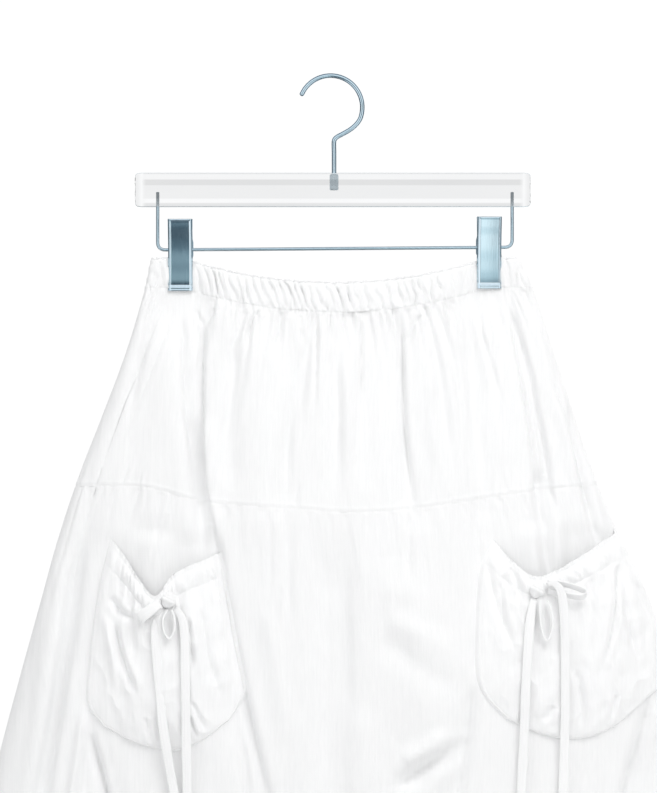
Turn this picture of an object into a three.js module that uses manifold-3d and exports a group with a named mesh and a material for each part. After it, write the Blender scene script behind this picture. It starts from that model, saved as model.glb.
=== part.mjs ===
// A white cotton balloon skirt that hangs by its waist from a clear clip hanger.
// Millimetres, +Z up. The front of the skirt faces -Y, and the wearer's right is at -X.
// The origin is the inside top of the hanger's hook, where a rail carries it.

import * as THREE from 'three';
import { mergeVertices } from 'three/addons/utils/BufferGeometryUtils.js';
import Module from 'manifold-3d';

const wasm = await Module();
wasm.setup();

// ---------------------------------------------------------------- driving dimensions

const CLOTH = 2; // wall of the skirt cloth
const BAND_CLOTH = 2.4; // wall of the elastic casing at the waist
const POCKET_CLOTH = 1.5; // wall of a patch pocket
const SEAM_GAP = 0.3; // space between two pieces at a seam
const PATCH_GAP = 1.75; // space between a patch and the panel under it

const WAIST_Z = -162; // top of the waistband outside the clips
const BAND_HEIGHT = 27;
const WAIST_SAG = { front: 22, back: 24 }; // drop of the waist between the clips
const HEM_SEAM_Z = -950; // where the lower panels meet the hem casing
const HEM_Z = -975; // bottom of the skirt

// Level sections of the skirt, from the waist to the hem. left and right are the silhouette,
// edge is the radius of the rounded sides, and front and back are the bellies of the two layers.
const SECTIONS = [
  { z: -155, left: -161, right: 163, edge: 5, front: 4, back: 4 },
  { z: -177, left: -165, right: 174, edge: 5.5, front: 6, back: 6 },
  { z: -200, left: -171, right: 183, edge: 6.5, front: 9, back: 9 },
  { z: -250, left: -186, right: 199, edge: 9, front: 15, back: 14 },
  { z: -303, left: -206, right: 216, edge: 12, front: 21, back: 19 },
  { z: -357, left: -227, right: 234, edge: 15, front: 26, back: 24 },
  { z: -411, left: -245, right: 256, edge: 18, front: 30, back: 28 },
  { z: -465, left: -260, right: 277, edge: 21, front: 33, back: 31 },
  { z: -537, left: -280, right: 302, edge: 24, front: 35, back: 34 },
  { z: -609, left: -299, right: 321, edge: 27, front: 37, back: 36 },
  { z: -680, left: -314, right: 336, edge: 30, front: 38, back: 37 },
  { z: -750, left: -323, right: 345, edge: 32, front: 38, back: 38 },
  { z: -810, left: -322, right: 344, edge: 33, front: 36, back: 36 },
  { z: -865, left: -308, right: 330, edge: 31, front: 32, back: 32 },
  { z: -905, left: -285, right: 307, edge: 28, front: 28, back: 28 },
  { z: -935, left: -255, right: 277, edge: 25, front: 23, back: 23 },
  { z: -952, left: -236, right: 258, edge: 22, front: 20, back: 20 },
  { z: -980, left: -230, right: 252, edge: 21, front: 19, back: 19 },
];

// The seam between the yoke and the lower panels, on the front and on the back.
const YOKE_SEAM_FRONT = [
  { x: -235, z: -367 },
  { x: -165, z: -368 },
  { x: -118, z: -380 },
  { x: -30, z: -387 },
  { x: 19, z: -390 },
  { x: 70, z: -387 },
  { x: 132, z: -378 },
  { x: 183, z: -371 },
  { x: 240, z: -365 },
];
const YOKE_SEAM_BACK = [
  { x: -235, z: -367 },
  { x: -120, z: -379 },
  { x: 0, z: -388 },
  { x: 130, z: -377 },
  { x: 240, z: -365 },
];

// How far each side seam sits round from the silhouette: the skirt hangs a little turned.
const SEAM_TURN = [
  { z: -160, turn: 22 },
  { z: -209, turn: 24 },
  { z: -281, turn: 22 },
  { z: -362, turn: 27 },
  { z: -406, turn: 30 },
  { z: -500, turn: 40 },
  { z: -636, turn: 56 },
  { z: -975, turn: 56 },
];

// The largest folds. Each runs from (x, z) to (endX, endZ), bowed sideways by bow,
// width is half its breadth, and a depth below zero is a trough. FOLD_RISE is how quickly
// a fold comes up from its ends.
const FOLD_RISE = 2.2;
const FRONT_FOLDS = [
  { x: -118, z: -205, endX: -110, endZ: -402, bow: -5, width: 10, depth: -7 },
  { x: -108, z: -395, endX: -42, endZ: -760, bow: -7, width: 13, depth: -6 },
  { x: -150, z: -230, endX: -158, endZ: -420, bow: 4, width: 22, depth: 4 },
  { x: -84, z: -235, endX: -92, endZ: -372, bow: -3, width: 9, depth: -3.5 },
  { x: -58, z: -220, endX: -66, endZ: -430, bow: 0, width: 18, depth: 3.5 },
  { x: -25, z: -225, endX: -44, endZ: -400, bow: -4, width: 11, depth: -4 },
  { x: 24, z: -200, endX: 26, endZ: -372, bow: 2, width: 11, depth: -3 },
  { x: 60, z: -205, endX: 72, endZ: -410, bow: -6, width: 10, depth: -6 },
  { x: 126, z: -215, endX: 134, endZ: -420, bow: 4, width: 16, depth: -4.5 },
  { x: 155, z: -190, endX: 196, endZ: -400, bow: 3, width: 11, depth: -5 },
  { x: -214, z: -362, endX: -300, endZ: -830, bow: 2, width: 12, depth: -6 },
  { x: -214, z: -586, endX: -172, endZ: -790, bow: 0, width: 13, depth: -6 },
  { x: -2, z: -392, endX: -4, endZ: -820, bow: 4, width: 26, depth: -5 },
  { x: 52, z: -430, endX: 92, endZ: -640, bow: 8, width: 20, depth: 5 },
  { x: 112, z: -590, endX: 62, endZ: -640, bow: 0, width: 15, depth: -5 },
  { x: 120, z: -545, endX: 104, endZ: -790, bow: -4, width: 13, depth: -5 },
  { x: 278, z: -590, endX: 250, endZ: -800, bow: 0, width: 14, depth: -6 },
  { x: 190, z: -640, endX: 182, endZ: -850, bow: 4, width: 20, depth: 5 },
];
const BACK_FOLDS = [
  { x: -135, z: -205, endX: -165, endZ: -400, bow: 4, width: 13, depth: -5 },
  { x: -78, z: -215, endX: -92, endZ: -420, bow: -5, width: 12, depth: -6 },
  { x: -20, z: -210, endX: -14, endZ: -380, bow: 3, width: 12, depth: -4 },
  { x: 44, z: -220, endX: 58, endZ: -430, bow: 5, width: 11, depth: -6 },
  { x: 104, z: -210, endX: 128, endZ: -390, bow: -3, width: 14, depth: -4.5 },
  { x: 150, z: -200, endX: 192, endZ: -410, bow: 4, width: 12, depth: -5 },
  { x: -222, z: -400, endX: -256, endZ: -800, bow: -6, width: 16, depth: -6 },
  { x: -136, z: -440, endX: -148, endZ: -830, bow: 8, width: 20, depth: -6 },
  { x: -40, z: -420, endX: -58, endZ: -760, bow: -6, width: 18, depth: 5 },
  { x: 30, z: -500, endX: 38, endZ: -850, bow: 5, width: 19, depth: -6 },
  { x: 116, z: -430, endX: 136, endZ: -790, bow: -7, width: 17, depth: 5 },
  { x: 196, z: -470, endX: 226, endZ: -840, bow: 6, width: 17, depth: -6 },
];

// Waves where the cloth is gathered: along the waistband, and up from the hem casing.
const RUCHE = { waves: 44, depth: 0.9 };
const HEM_GATHER = { waves: 20, depth: 5, reach: 150 };

// The patch pockets. Each outline has four sides in distances along the cloth and heights.
const POCKETS = [
  {
    name: 'pocket_left',
    mouth: [[-200, -411], [-184, -430], [-157, -464], [-139, -444], [-99, -425]],
    nearSide: [[-200, -411], [-211, -461], [-219, -520], [-221, -560], [-207, -585]],
    farSide: [[-99, -425], [-90, -470], [-79, -530], [-77, -552], [-90, -578]],
    bottom: [[-207, -585], [-153, -603], [-125, -599], [-90, -578]],
    pleats: 4,
  },
  {
    name: 'pocket_right',
    mouth: [[143, -413], [159, -433], [181, -447], [217, -431], [256, -404]],
    nearSide: [[143, -413], [131, -440], [126, -495], [128, -542], [152, -578]],
    farSide: [[256, -404], [284, -450], [305, -505], [297, -540], [277, -566]],
    bottom: [[152, -578], [205, -593], [240, -588], [277, -566]],
    pleats: 4,
  },
];

// How far a pocket stands off the panel at its mouth and at its middle, and how that fades.
const POCKET = { mouth: 9, belly: 9, pleat: 1.4, roundness: 0.8, fade: 1.5 };

// The drawstrings are flat ties of folded cloth. Each pocket has a knot, two loops and two tails.
// A route is a hand-laid list of points from the knot outwards.
const TIE = { width: 8.6, cloth: 2, step: 17, leastSteps: 12 };
const KNOT = { wide: 7, deep: 5.2, high: 6.5 };
const TIES = [
  {
    name: 'left',
    knot: [-146, -63.8, -468],
    loops: [
      {
        name: 'loop_side',
        width: 11,
        across: [-0.57, 0, 0.82],
        route: [
          [-154.2, -68, -470.6], [-160, -71.3, -475], [-167, -71.7, -480], [-172, -68.7, -484],
          [-168, -65.9, -481], [-160.3, -65.5, -475.8], [-154.6, -64.7, -471],
        ],
      },
      {
        name: 'loop_low',
        width: 6.4,
        across: [0, -1, 0],
        route: [
          [-147, -68.2, -476.4], [-150.8, -68.4, -484], [-150.6, -68.8, -494], [-145.6, -69, -502],
          [-140.8, -68.8, -495], [-140.8, -68.6, -484.5], [-143.2, -68.2, -476.4],
        ],
      },
    ],
    tails: [
      [
        [-150.2, -61.6, -475.4], [-154.5, -62.6, -482], [-157.4, -64.2, -492], [-157.2, -65.6, -510],
        [-155.8, -66.2, -530], [-153.6, -66.4, -552], [-151.4, -65.6, -578], [-147.4, -63.6, -605],
        [-143.8, -62.8, -626], [-140.8, -63.6, -643], [-140.4, -64.6, -665], [-141, -65.6, -690],
        [-142.2, -66.4, -712], [-143.4, -66.8, -735],
      ],
      [
        [-140.6, -61.8, -475.8], [-136, -63.4, -481], [-133, -64.6, -490], [-131.8, -66.2, -505],
        [-131.4, -67.2, -525], [-131, -67.6, -550], [-130.6, -67.2, -578], [-130.2, -66, -605],
        [-129.8, -65, -630], [-129.8, -65, -655], [-130.2, -65.6, -680], [-130.8, -66.2, -700],
        [-131.2, -66.6, -718],
      ],
    ],
  },
  {
    name: 'right',
    knot: [182.5, -59.6, -459],
    loops: [
      {
        name: 'loop_side',
        width: 7.6,
        across: [0, -0.76, 0.65],
        route: [
          [191.4, -58, -452], [202, -58.2, -453], [214, -58, -456], [225, -57.6, -460.5],
          [222, -57.6, -465.4], [210, -57.8, -464], [200, -58, -462], [191.8, -58, -460.4],
        ],
      },
      {
        name: 'loop_low',
        width: 6.4,
        across: [0, -1, 0],
        route: [
          [184.4, -64, -467.6], [184.2, -64.3, -480], [186.2, -64.9, -494], [190.8, -65.3, -504],
          [195.4, -65.1, -494], [195, -64.5, -480], [191.2, -64.1, -468.6],
        ],
      },
    ],
    tails: [
      [
        [179.2, -58.6, -467.2], [177.4, -60.4, -476], [175.8, -61.8, -488], [174.2, -63, -505],
        [173, -63.4, -525], [171.8, -63.2, -548], [171, -62.2, -572], [170, -61.2, -596],
        [168.8, -61.6, -620], [167.8, -62.8, -643], [167.4, -64.4, -668], [167.6, -65.8, -695],
        [168.2, -66.8, -722], [169, -67.4, -748],
      ],
      [
        [190.6, -63.2, -454.4], [196, -64, -452.8], [201.2, -64.2, -456.6], [204.4, -63.8, -465],
        [206, -63.2, -478], [206.6, -62.2, -495], [207, -61.4, -515], [207.2, -60.8, -538],
        [207.2, -60, -560], [206.8, -58.8, -585], [206.2, -58.2, -610], [205.6, -59, -632],
        [205.2, -61, -655], [205, -63, -680], [205.2, -64.2, -703], [205.4, -65, -722],
      ],
    ],
  },
];

// The hanger: a wire hook in a socket, a clear bar, a wire rod under it and two steel clips.
const WIRE_GAP = 0.3;
const HOOK = { wire: 4.2, x: -1.9, z: -26.4, radius: 28.5, tipAngle: 156, backAngle: -22 };
const HOOK_NECK = [[20.6, -42.4], [15.2, -46.8], [8.6, -50.6], [3.6, -53.4]]; // x and z of its bends
const STEM = { x: 1.2, topZ: -57, footZ: -99 };
const BAR = { length: 356, height: 30.6, depth: 12, topZ: -85.5, corner: 4, bevel: 1.5 };
const SOCKET = { radius: 4, floor: 1.7, rim: 1 };
const ROD = { wire: 3, left: -157.5, right: 161.5, leftZ: -154.8, rightZ: -152.4, bend: 7, topZ: -103 };
const CLIP_X = { left: -136.6, right: 140.2 };
const CLIP = { plate: 1.1, frontWidth: 22, backWidth: 19.2 };
const SPRING = { radius: 3.4, length: 14 };

// The outside of a clip's plate from its top to its lip: height over the rod and distance from it.
const CLIP_PROFILE = [
  { high: 27.5, out: 12.5 },
  { high: 20, out: 11.6 },
  { high: 10, out: 9.6 },
  { high: 0, out: 8.2 },
  { high: -12, out: 7.3 },
  { high: -24, out: 6.5 },
  { high: -33, out: 6.5 },
  { high: -37, out: 7.6 },
];

// The free edge of a clip's ear, from under the rod, round behind it and up to the plate's top.
const CLIP_EAR = [
  { high: -7.5, out: 6.2 },
  { high: -5.5, out: -3.4 },
  { high: 6.5, out: -3.4 },
  { high: 9.5, out: 5.4 },
  { high: 27.5, out: 10.2 },
];

// A clip presses the waist flat: half the depth there, and how far that reaches and fades.
const GRIP = { half: 3.9, reach: 13, fade: 24, under: 4, fadeDown: 48 };

// Faces across each layer of the skirt, and down each piece. Pieces that meet share them.
const ACROSS = 40;
const DOWN = { band: 2, yoke: 6, lower: 11, hem: 1 };
const PATCH_FACES = { across: 14, down: 8 };
const EDGE_CROWD = 0.45; // how much closer the faces lie where the skirt rounds away
const FOOT_CROWD = 1.3; // how much closer they lie where the lower panels draw in
const WIRE_SIDES = 8;
const BORE_SIDES = 16;

// ---------------------------------------------------------------- materials

const COTTON = { color: 0xf7f6f4, roughness: 0.85, metalness: 0 };
const STEEL = { color: 0xb4c6d2, roughness: 0.22, metalness: 1 };
const CLEAR = { color: 0xeef1f2, roughness: 0.12, metalness: 0 };

const group = new THREE.Group();

function addMesh(name, geometry, finish) {
  const mesh = new THREE.Mesh(geometry, new THREE.MeshStandardMaterial(finish));
  mesh.name = name;
  group.add(mesh);
  return mesh;
}

// ---------------------------------------------------------------- smooth tables

const clamp = (value, low, high) => Math.min(high, Math.max(low, value));

const mix = (a, b, share) => a + (b - a) * share;

function easeIn(share) {
  const t = clamp(share, 0, 1);
  return t * t * (3 - 2 * t);
}

// The value of one column of a table at a place of its key, on a smooth curve through the rows.
function smooth(table, key, column, place) {
  const rising = table[1][key] > table[0][key];
  const last = table.length - 1;
  let row = 0;
  while (row < last - 1 && (place > table[row + 1][key]) === rising) {
    row += 1;
  }
  const from = table[row];
  const to = table[row + 1];
  const before = table[Math.max(row - 1, 0)];
  const after = table[Math.min(row + 2, last)];
  const step = to[key] - from[key];
  const t = clamp((place - from[key]) / step, 0, 1);
  const slopeIn = ((to[column] - before[column]) / (to[key] - before[key])) * step;
  const slopeOut = ((after[column] - from[column]) / (after[key] - from[key])) * step;
  const t2 = t * t;
  const t3 = t2 * t;
  return (
    (2 * t3 - 3 * t2 + 1) * from[column] +
    (t3 - 2 * t2 + t) * slopeIn +
    (3 * t2 - 2 * t3) * to[column] +
    (t3 - t2) * slopeOut
  );
}

// ---------------------------------------------------------------- the surface of the skirt

// A place on the skirt is a share round it and a height. The share is 0 at the left silhouette,
// 1 at the right one by way of the front, and 2 at the left one again by way of the back.

function sectionAt(z) {
  const at = (column) => smooth(SECTIONS, 'z', column, z);
  const half = (at('right') - at('left')) / 2;
  const edge = at('edge');
  return {
    middle: (at('right') + at('left')) / 2,
    half,
    edge,
    front: at('front'),
    back: at('back'),
    length: 2 * (half - edge) + Math.PI * edge,
  };
}

const rodZ = (x) => mix(ROD.leftZ, ROD.rightZ, (x - ROD.left) / (ROD.right - ROD.left));

// How firmly a clip presses the cloth flat, from 0 to 1.
function gripAt(x, z) {
  const clipX = x < 0 ? CLIP_X.left : CLIP_X.right;
  const beside = 1 - easeIn((Math.abs(x - clipX) - GRIP.reach) / GRIP.fade);
  const lipZ = rodZ(x) + CLIP_PROFILE.at(-1).high;
  const under = 1 - easeIn((lipZ - GRIP.under - z) / GRIP.fadeDown);
  return beside * under;
}

function foldDepth(folds, x, z) {
  let depth = 0;
  for (const fold of folds) {
    const share = (z - fold.z) / (fold.endZ - fold.z);
    if (share > 0 && share < 1) {
      const line = mix(fold.x, fold.endX, share) + fold.bow * Math.sin(Math.PI * share);
      const away = (x - line) / fold.width;
      const ends = Math.min(1, FOLD_RISE * Math.sin(Math.PI * share));
      depth += fold.depth * ends * Math.exp(-away * away);
    }
  }
  return depth;
}

function gatherDepth(share, z) {
  const near = clamp(1 - (z - HEM_SEAM_Z) / HEM_GATHER.reach, 0, 1);
  return HEM_GATHER.depth * near * near * Math.cos(Math.PI * HEM_GATHER.waves * share);
}

// The middle of the cloth with its folds, and the way out of it.
function plainPoint(share, z) {
  const section = sectionAt(z);
  const behind = share > 1;
  const along = (behind ? 2 - share : share) * section.length;
  const fromEdge = Math.min(along, section.length - along);
  const turn = Math.min(fromEdge / section.edge, Math.PI / 2);
  const side = along < section.length / 2 ? -1 : 1;
  const straight = section.half - section.edge - Math.max(0, fromEdge - (Math.PI / 2) * section.edge);
  const x = side * (straight + section.edge * Math.cos(turn));
  const belly = behind ? section.back : section.front;
  const rounded = section.edge * Math.sin(turn);
  const deep = rounded + belly * (1 - (x / section.half) ** 2);
  const grip = gripAt(section.middle + x, z);
  const y = mix(deep, Math.min(deep, GRIP.half), grip);
  return { x: section.middle + x, y: behind ? y : -y, z, behind, open: Math.sin(turn) * (1 - grip) };
}

function wrap(share) {
  return ((share % 2) + 2) % 2;
}

function plainVector(share, z) {
  const point = plainPoint(wrap(share), z);
  return new THREE.Vector3(point.x, point.y, point.z);
}

// The level way out of a surface, so that pieces which meet at a seam keep their gap.
function outwardOf(surface, share, z) {
  const step = 0.002; // of the way round one layer
  const across = surface(share + step, z).sub(surface(share - step, z));
  return new THREE.Vector3(across.y, -across.x, 0).normalize();
}

function foldedVector(share, z) {
  const point = plainPoint(wrap(share), z);
  const folds = point.behind ? BACK_FOLDS : FRONT_FOLDS;
  const depth = foldDepth(folds, point.x, z) * point.open + gatherDepth(wrap(share), z);
  return plainVector(share, z).addScaledVector(outwardOf(plainVector, share, z), depth);
}

// The two faces of a wall at one place, stand-off away from the middle of the skirt cloth.
function faces(surface, share, z, standOff, thickness) {
  const middle = surface(share, z);
  const outward = outwardOf(surface, share, z);
  return {
    outer: middle.clone().addScaledVector(outward, standOff + thickness / 2),
    inner: middle.clone().addScaledVector(outward, standOff - thickness / 2),
  };
}

// ---------------------------------------------------------------- seam lines

function bandTop(x, behind) {
  const middle = (CLIP_X.left + CLIP_X.right) / 2;
  const reach = (CLIP_X.right - CLIP_X.left) / 2;
  const sag = behind ? WAIST_SAG.back : WAIST_SAG.front;
  return WAIST_Z - sag * Math.max(0, 1 - ((x - middle) / reach) ** 2);
}

const bandBottom = (x, behind) => bandTop(x, behind) - BAND_HEIGHT;

const yokeSeam = (x, behind) => smooth(behind ? YOKE_SEAM_BACK : YOKE_SEAM_FRONT, 'x', 'z', x);

const hemSeam = () => HEM_SEAM_Z;

const hemLine = () => HEM_Z;

const below = (line) => (x, behind) => line(x, behind) - SEAM_GAP / 2;

const above = (line) => (x, behind) => line(x, behind) + SEAM_GAP / 2;

// The place at a share round the skirt, counted from the left side seam, and a share down
// between two lines. The lines bend, so it is found in passes.
function placeBetween(round, down, top, bottom) {
  const passes = 12;
  let z = (top(0, false) + bottom(0, false)) / 2;
  let share = round;
  for (let pass = 0; pass < passes; pass += 1) {
    const turn = smooth(SEAM_TURN, 'z', 'turn', z) / sectionAt(z).length;
    share = wrap(round + turn);
    const point = plainPoint(share, z);
    z = mix(top(point.x, point.behind), bottom(point.x, point.behind), down);
  }
  return { share, z };
}

// Shares from 0 to 1 that lie closer together at both ends, where the skirt rounds away.
const spread = (share) => share - (EDGE_CROWD / (2 * Math.PI)) * Math.sin(2 * Math.PI * share);

// Shares from 0 to 1 that lie closer together towards 1, where the lower panels draw in.
const closing = (share) => 1 - (1 - share) ** FOOT_CROWD;

// ---------------------------------------------------------------- walls

// A closed wall between rows of outer points and rows of inner ones.
// The rows run down and the columns run to the right, seen from outside.
function wallGeometry(outer, inner, round) {
  const rows = outer.length;
  const columns = outer[0].length;
  const positions = [];
  for (const point of [...outer.flat(), ...inner.flat()]) {
    positions.push(point.x, point.y, point.z);
  }
  const outerAt = (row, column) => row * columns + (column % columns);
  const innerAt = (row, column) => rows * columns + outerAt(row, column);
  const indices = [];
  const quad = (a, b, c, d) => indices.push(a, b, c, a, c, d);
  const steps = round ? columns : columns - 1;
  for (let row = 0; row < rows - 1; row += 1) {
    for (let column = 0; column < steps; column += 1) {
      const right = column + 1;
      const down = row + 1;
      quad(outerAt(row, column), outerAt(down, column), outerAt(down, right), outerAt(row, right));
      quad(innerAt(row, column), innerAt(row, right), innerAt(down, right), innerAt(down, column));
    }
  }
  for (let column = 0; column < steps; column += 1) {
    const right = column + 1;
    const last = rows - 1;
    quad(outerAt(0, column), outerAt(0, right), innerAt(0, right), innerAt(0, column));
    quad(outerAt(last, column), innerAt(last, column), innerAt(last, right), outerAt(last, right));
  }
  if (!round) {
    for (let row = 0; row < rows - 1; row += 1) {
      const down = row + 1;
      const last = columns - 1;
      quad(outerAt(row, 0), innerAt(row, 0), innerAt(down, 0), outerAt(down, 0));
      quad(outerAt(row, last), outerAt(down, last), innerAt(down, last), innerAt(row, last));
    }
  }
  const geometry = new THREE.BufferGeometry();
  geometry.setAttribute('position', new THREE.Float32BufferAttribute(positions, 3));
  geometry.setIndex(indices);
  geometry.computeVertexNormals();
  return geometry;
}

// Rows of faces, from a function of the share down and the share across.
function wallFrom(facesAt, down, across, round) {
  const outer = [];
  const inner = [];
  for (let row = 0; row <= down; row += 1) {
    const columns = round ? across - 1 : across;
    const both = [];
    for (let column = 0; column <= columns; column += 1) {
      both.push(facesAt(row / down, column / across));
    }
    outer.push(both.map((point) => point.outer));
    inner.push(both.map((point) => point.inner));
  }
  return wallGeometry(outer, inner, round);
}

// ---------------------------------------------------------------- skirt pieces

// A band all round the skirt. It has as many faces on the back as on the front.
function addBand(name, rows, top, bottom, thickness, waves) {
  const facesAt = (down, round) => {
    const half = round < 0.5 ? 0 : 1;
    const share = half + spread(2 * round - half);
    const place = placeBetween(share, down, top, bottom);
    const open = plainPoint(place.share, place.z).open;
    const ruffle = waves.depth * open * Math.cos(Math.PI * waves.waves * place.share);
    return faces(plainVector, place.share, place.z, ruffle, thickness);
  };
  addMesh(name, wallFrom(facesAt, rows, 2 * ACROSS, true), COTTON);
}

// A panel from one side seam to the other, between two seam lines.
function addPanel(name, rows, start, top, bottom) {
  const facesAt = (down, across) => {
    const middleZ = (top(0, false) + bottom(0, false)) / 2;
    const margin = SEAM_GAP / 2 / sectionAt(middleZ).length;
    const round = start + mix(margin, 1 - margin, spread(across));
    const place = placeBetween(round, closing(down), top, bottom);
    return faces(foldedVector, place.share, place.z, 0, CLOTH);
  };
  addMesh(name, wallFrom(facesAt, rows, ACROSS, false), COTTON);
}

// The place of a point given by its distance along the cloth from the middle, and its height.
function placeAlong(distance, z) {
  const section = sectionAt(z);
  return { share: 0.5 + (distance - section.middle) / section.length, z };
}

const flatPoint = ([distance, z]) => new THREE.Vector2(distance, z);

// A patch with four sides, filled evenly between them.
function patchSpot({ mouth, nearSide, farSide, bottom }, down, across) {
  const at = (side, share) => new THREE.SplineCurve(side.map(flatPoint)).getPointAt(share);
  const between = (from, to, share) => from.clone().lerp(to, share);
  const upright = between(at(mouth, across), at(bottom, across), down);
  const level = between(at(nearSide, down), at(farSide, down), across);
  const top = between(flatPoint(mouth[0]), flatPoint(mouth.at(-1)), across);
  const foot = between(flatPoint(bottom[0]), flatPoint(bottom.at(-1)), across);
  const spot = upright.add(level).sub(between(top, foot, down));
  return placeAlong(spot.x, spot.y);
}

function addPocket(pocket) {
  const seated = CLOTH / 2 + PATCH_GAP + POCKET_CLOTH / 2;
  const facesAt = (down, across) => {
    const place = patchSpot(pocket, down, spread(across));
    const inside = Math.sin(Math.PI * across) ** POCKET.roundness;
    const stand = POCKET.mouth * (1 - down) ** POCKET.fade + 4 * POCKET.belly * down * (1 - down);
    const pleat = POCKET.pleat * (1 - down) * Math.cos(2 * Math.PI * pocket.pleats * across);
    const standOff = seated + inside * (stand + pleat);
    return faces(foldedVector, place.share, place.z, standOff, POCKET_CLOTH);
  };
  addMesh(pocket.name, wallFrom(facesAt, PATCH_FACES.down, PATCH_FACES.across, false), COTTON);
}

// ---------------------------------------------------------------- drawstrings

const vector = ([x, y, z]) => new THREE.Vector3(x, y, z);

// A flat tie along a route. Its breadth lies along across, or level with the front where none is given.
function tieGeometry(route, width, across) {
  const curve = new THREE.CatmullRomCurve3(route.map(vector));
  const steps = Math.max(TIE.leastSteps, Math.round(curve.getLength() / TIE.step));
  const facing = new THREE.Vector3(0, 1, 0);
  const edgeAt = (down, side) => {
    const tangent = curve.getTangentAt(down);
    const along = (across ? vector(across) : tangent.clone().cross(facing)).normalize();
    const out = tangent.cross(along).normalize().multiplyScalar(TIE.cloth / 2);
    const edge = curve.getPointAt(down).addScaledVector(along, width * (side - 0.5));
    return { outer: edge.clone().add(out), inner: edge.clone().sub(out) };
  };
  return wallFrom(edgeAt, steps, 1, false);
}

function addTies(ties) {
  const knot = addMesh(`knot_${ties.name}`, new THREE.SphereGeometry(1, 9, 6), COTTON);
  knot.position.copy(vector(ties.knot));
  knot.scale.set(KNOT.wide, KNOT.deep, KNOT.high);
  for (const loop of ties.loops) {
    addMesh(`${loop.name}_${ties.name}`, tieGeometry(loop.route, loop.width, loop.across), COTTON);
  }
  ties.tails.forEach((route, index) => {
    addMesh(`tail_${index + 1}_${ties.name}`, tieGeometry(route, TIE.width, null), COTTON);
  });
}

// ---------------------------------------------------------------- hanger

function solidOf(geometry) {
  const bare = geometry.clone();
  bare.deleteAttribute('normal');
  bare.deleteAttribute('uv');
  const merged = mergeVertices(bare, 1e-4);
  const vertProperties = new Float32Array(merged.attributes.position.array);
  const triVerts = new Uint32Array(merged.index.array);
  return new wasm.Manifold(new wasm.Mesh({ numProp: 3, vertProperties, triVerts }));
}

function geometryOf(solid) {
  const mesh = solid.getMesh();
  const geometry = new THREE.BufferGeometry();
  geometry.setAttribute('position', new THREE.BufferAttribute(mesh.vertProperties, 3));
  geometry.setIndex(new THREE.BufferAttribute(mesh.triVerts, 1));
  geometry.computeVertexNormals();
  return geometry;
}

function roundBar(extrudePath, radius, steps) {
  const corners = [];
  for (let side = 0; side < WIRE_SIDES; side += 1) {
    const angle = (2 * Math.PI * side) / WIRE_SIDES;
    corners.push(new THREE.Vector2(radius * Math.cos(angle), radius * Math.sin(angle)));
  }
  return new THREE.ExtrudeGeometry(new THREE.Shape(corners), { steps, bevelEnabled: false, extrudePath });
}

// Points round a bend in the plane of the hanger, from one angle to another.
function bendPoints(x, z, radius, fromAngle, toAngle, count) {
  const points = [];
  for (let index = 0; index <= count; index += 1) {
    const angle = THREE.MathUtils.degToRad(mix(fromAngle, toAngle, index / count));
    points.push([x + radius * Math.cos(angle), 0, z + radius * Math.sin(angle)]);
  }
  return points;
}

function addHook() {
  const arc = bendPoints(HOOK.x, HOOK.z, HOOK.radius, HOOK.tipAngle, HOOK.backAngle, 14);
  const neck = HOOK_NECK.map(([x, z]) => [x, 0, z]);
  const stem = [0, 0.25, 0.5, 0.75, 1].map((share) => [STEM.x, 0, mix(STEM.topZ, STEM.footZ, share)]);
  const path = new THREE.CatmullRomCurve3([...arc, ...neck, ...stem].map(vector));
  addMesh('hanger_hook', roundBar(path, HOOK.wire / 2, 52), STEEL);
}

function addSocket() {
  const inner = HOOK.wire / 2 + WIRE_GAP;
  const bottom = STEM.footZ - WIRE_GAP - SOCKET.floor;
  const profile = [
    [0, bottom],
    [SOCKET.radius, bottom],
    [SOCKET.radius, BAR.topZ - SOCKET.rim],
    [inner, BAR.topZ - SOCKET.rim],
    [inner, STEM.footZ - WIRE_GAP],
    [0, STEM.footZ - WIRE_GAP],
  ].map(([radius, z]) => new THREE.Vector2(radius, z));
  const geometry = new THREE.LatheGeometry(profile, BORE_SIDES);
  geometry.rotateX(Math.PI / 2);
  addMesh('hook_socket', geometry.translate(STEM.x, 0, 0), STEEL);
}

// An upright drill of one radius, for the bores of the bar.
function drill(x, radius, fromZ, toZ) {
  const geometry = new THREE.CylinderGeometry(radius, radius, toZ - fromZ, BORE_SIDES);
  geometry.rotateX(Math.PI / 2);
  return solidOf(geometry.translate(x, 0, (fromZ + toZ) / 2));
}

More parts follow.
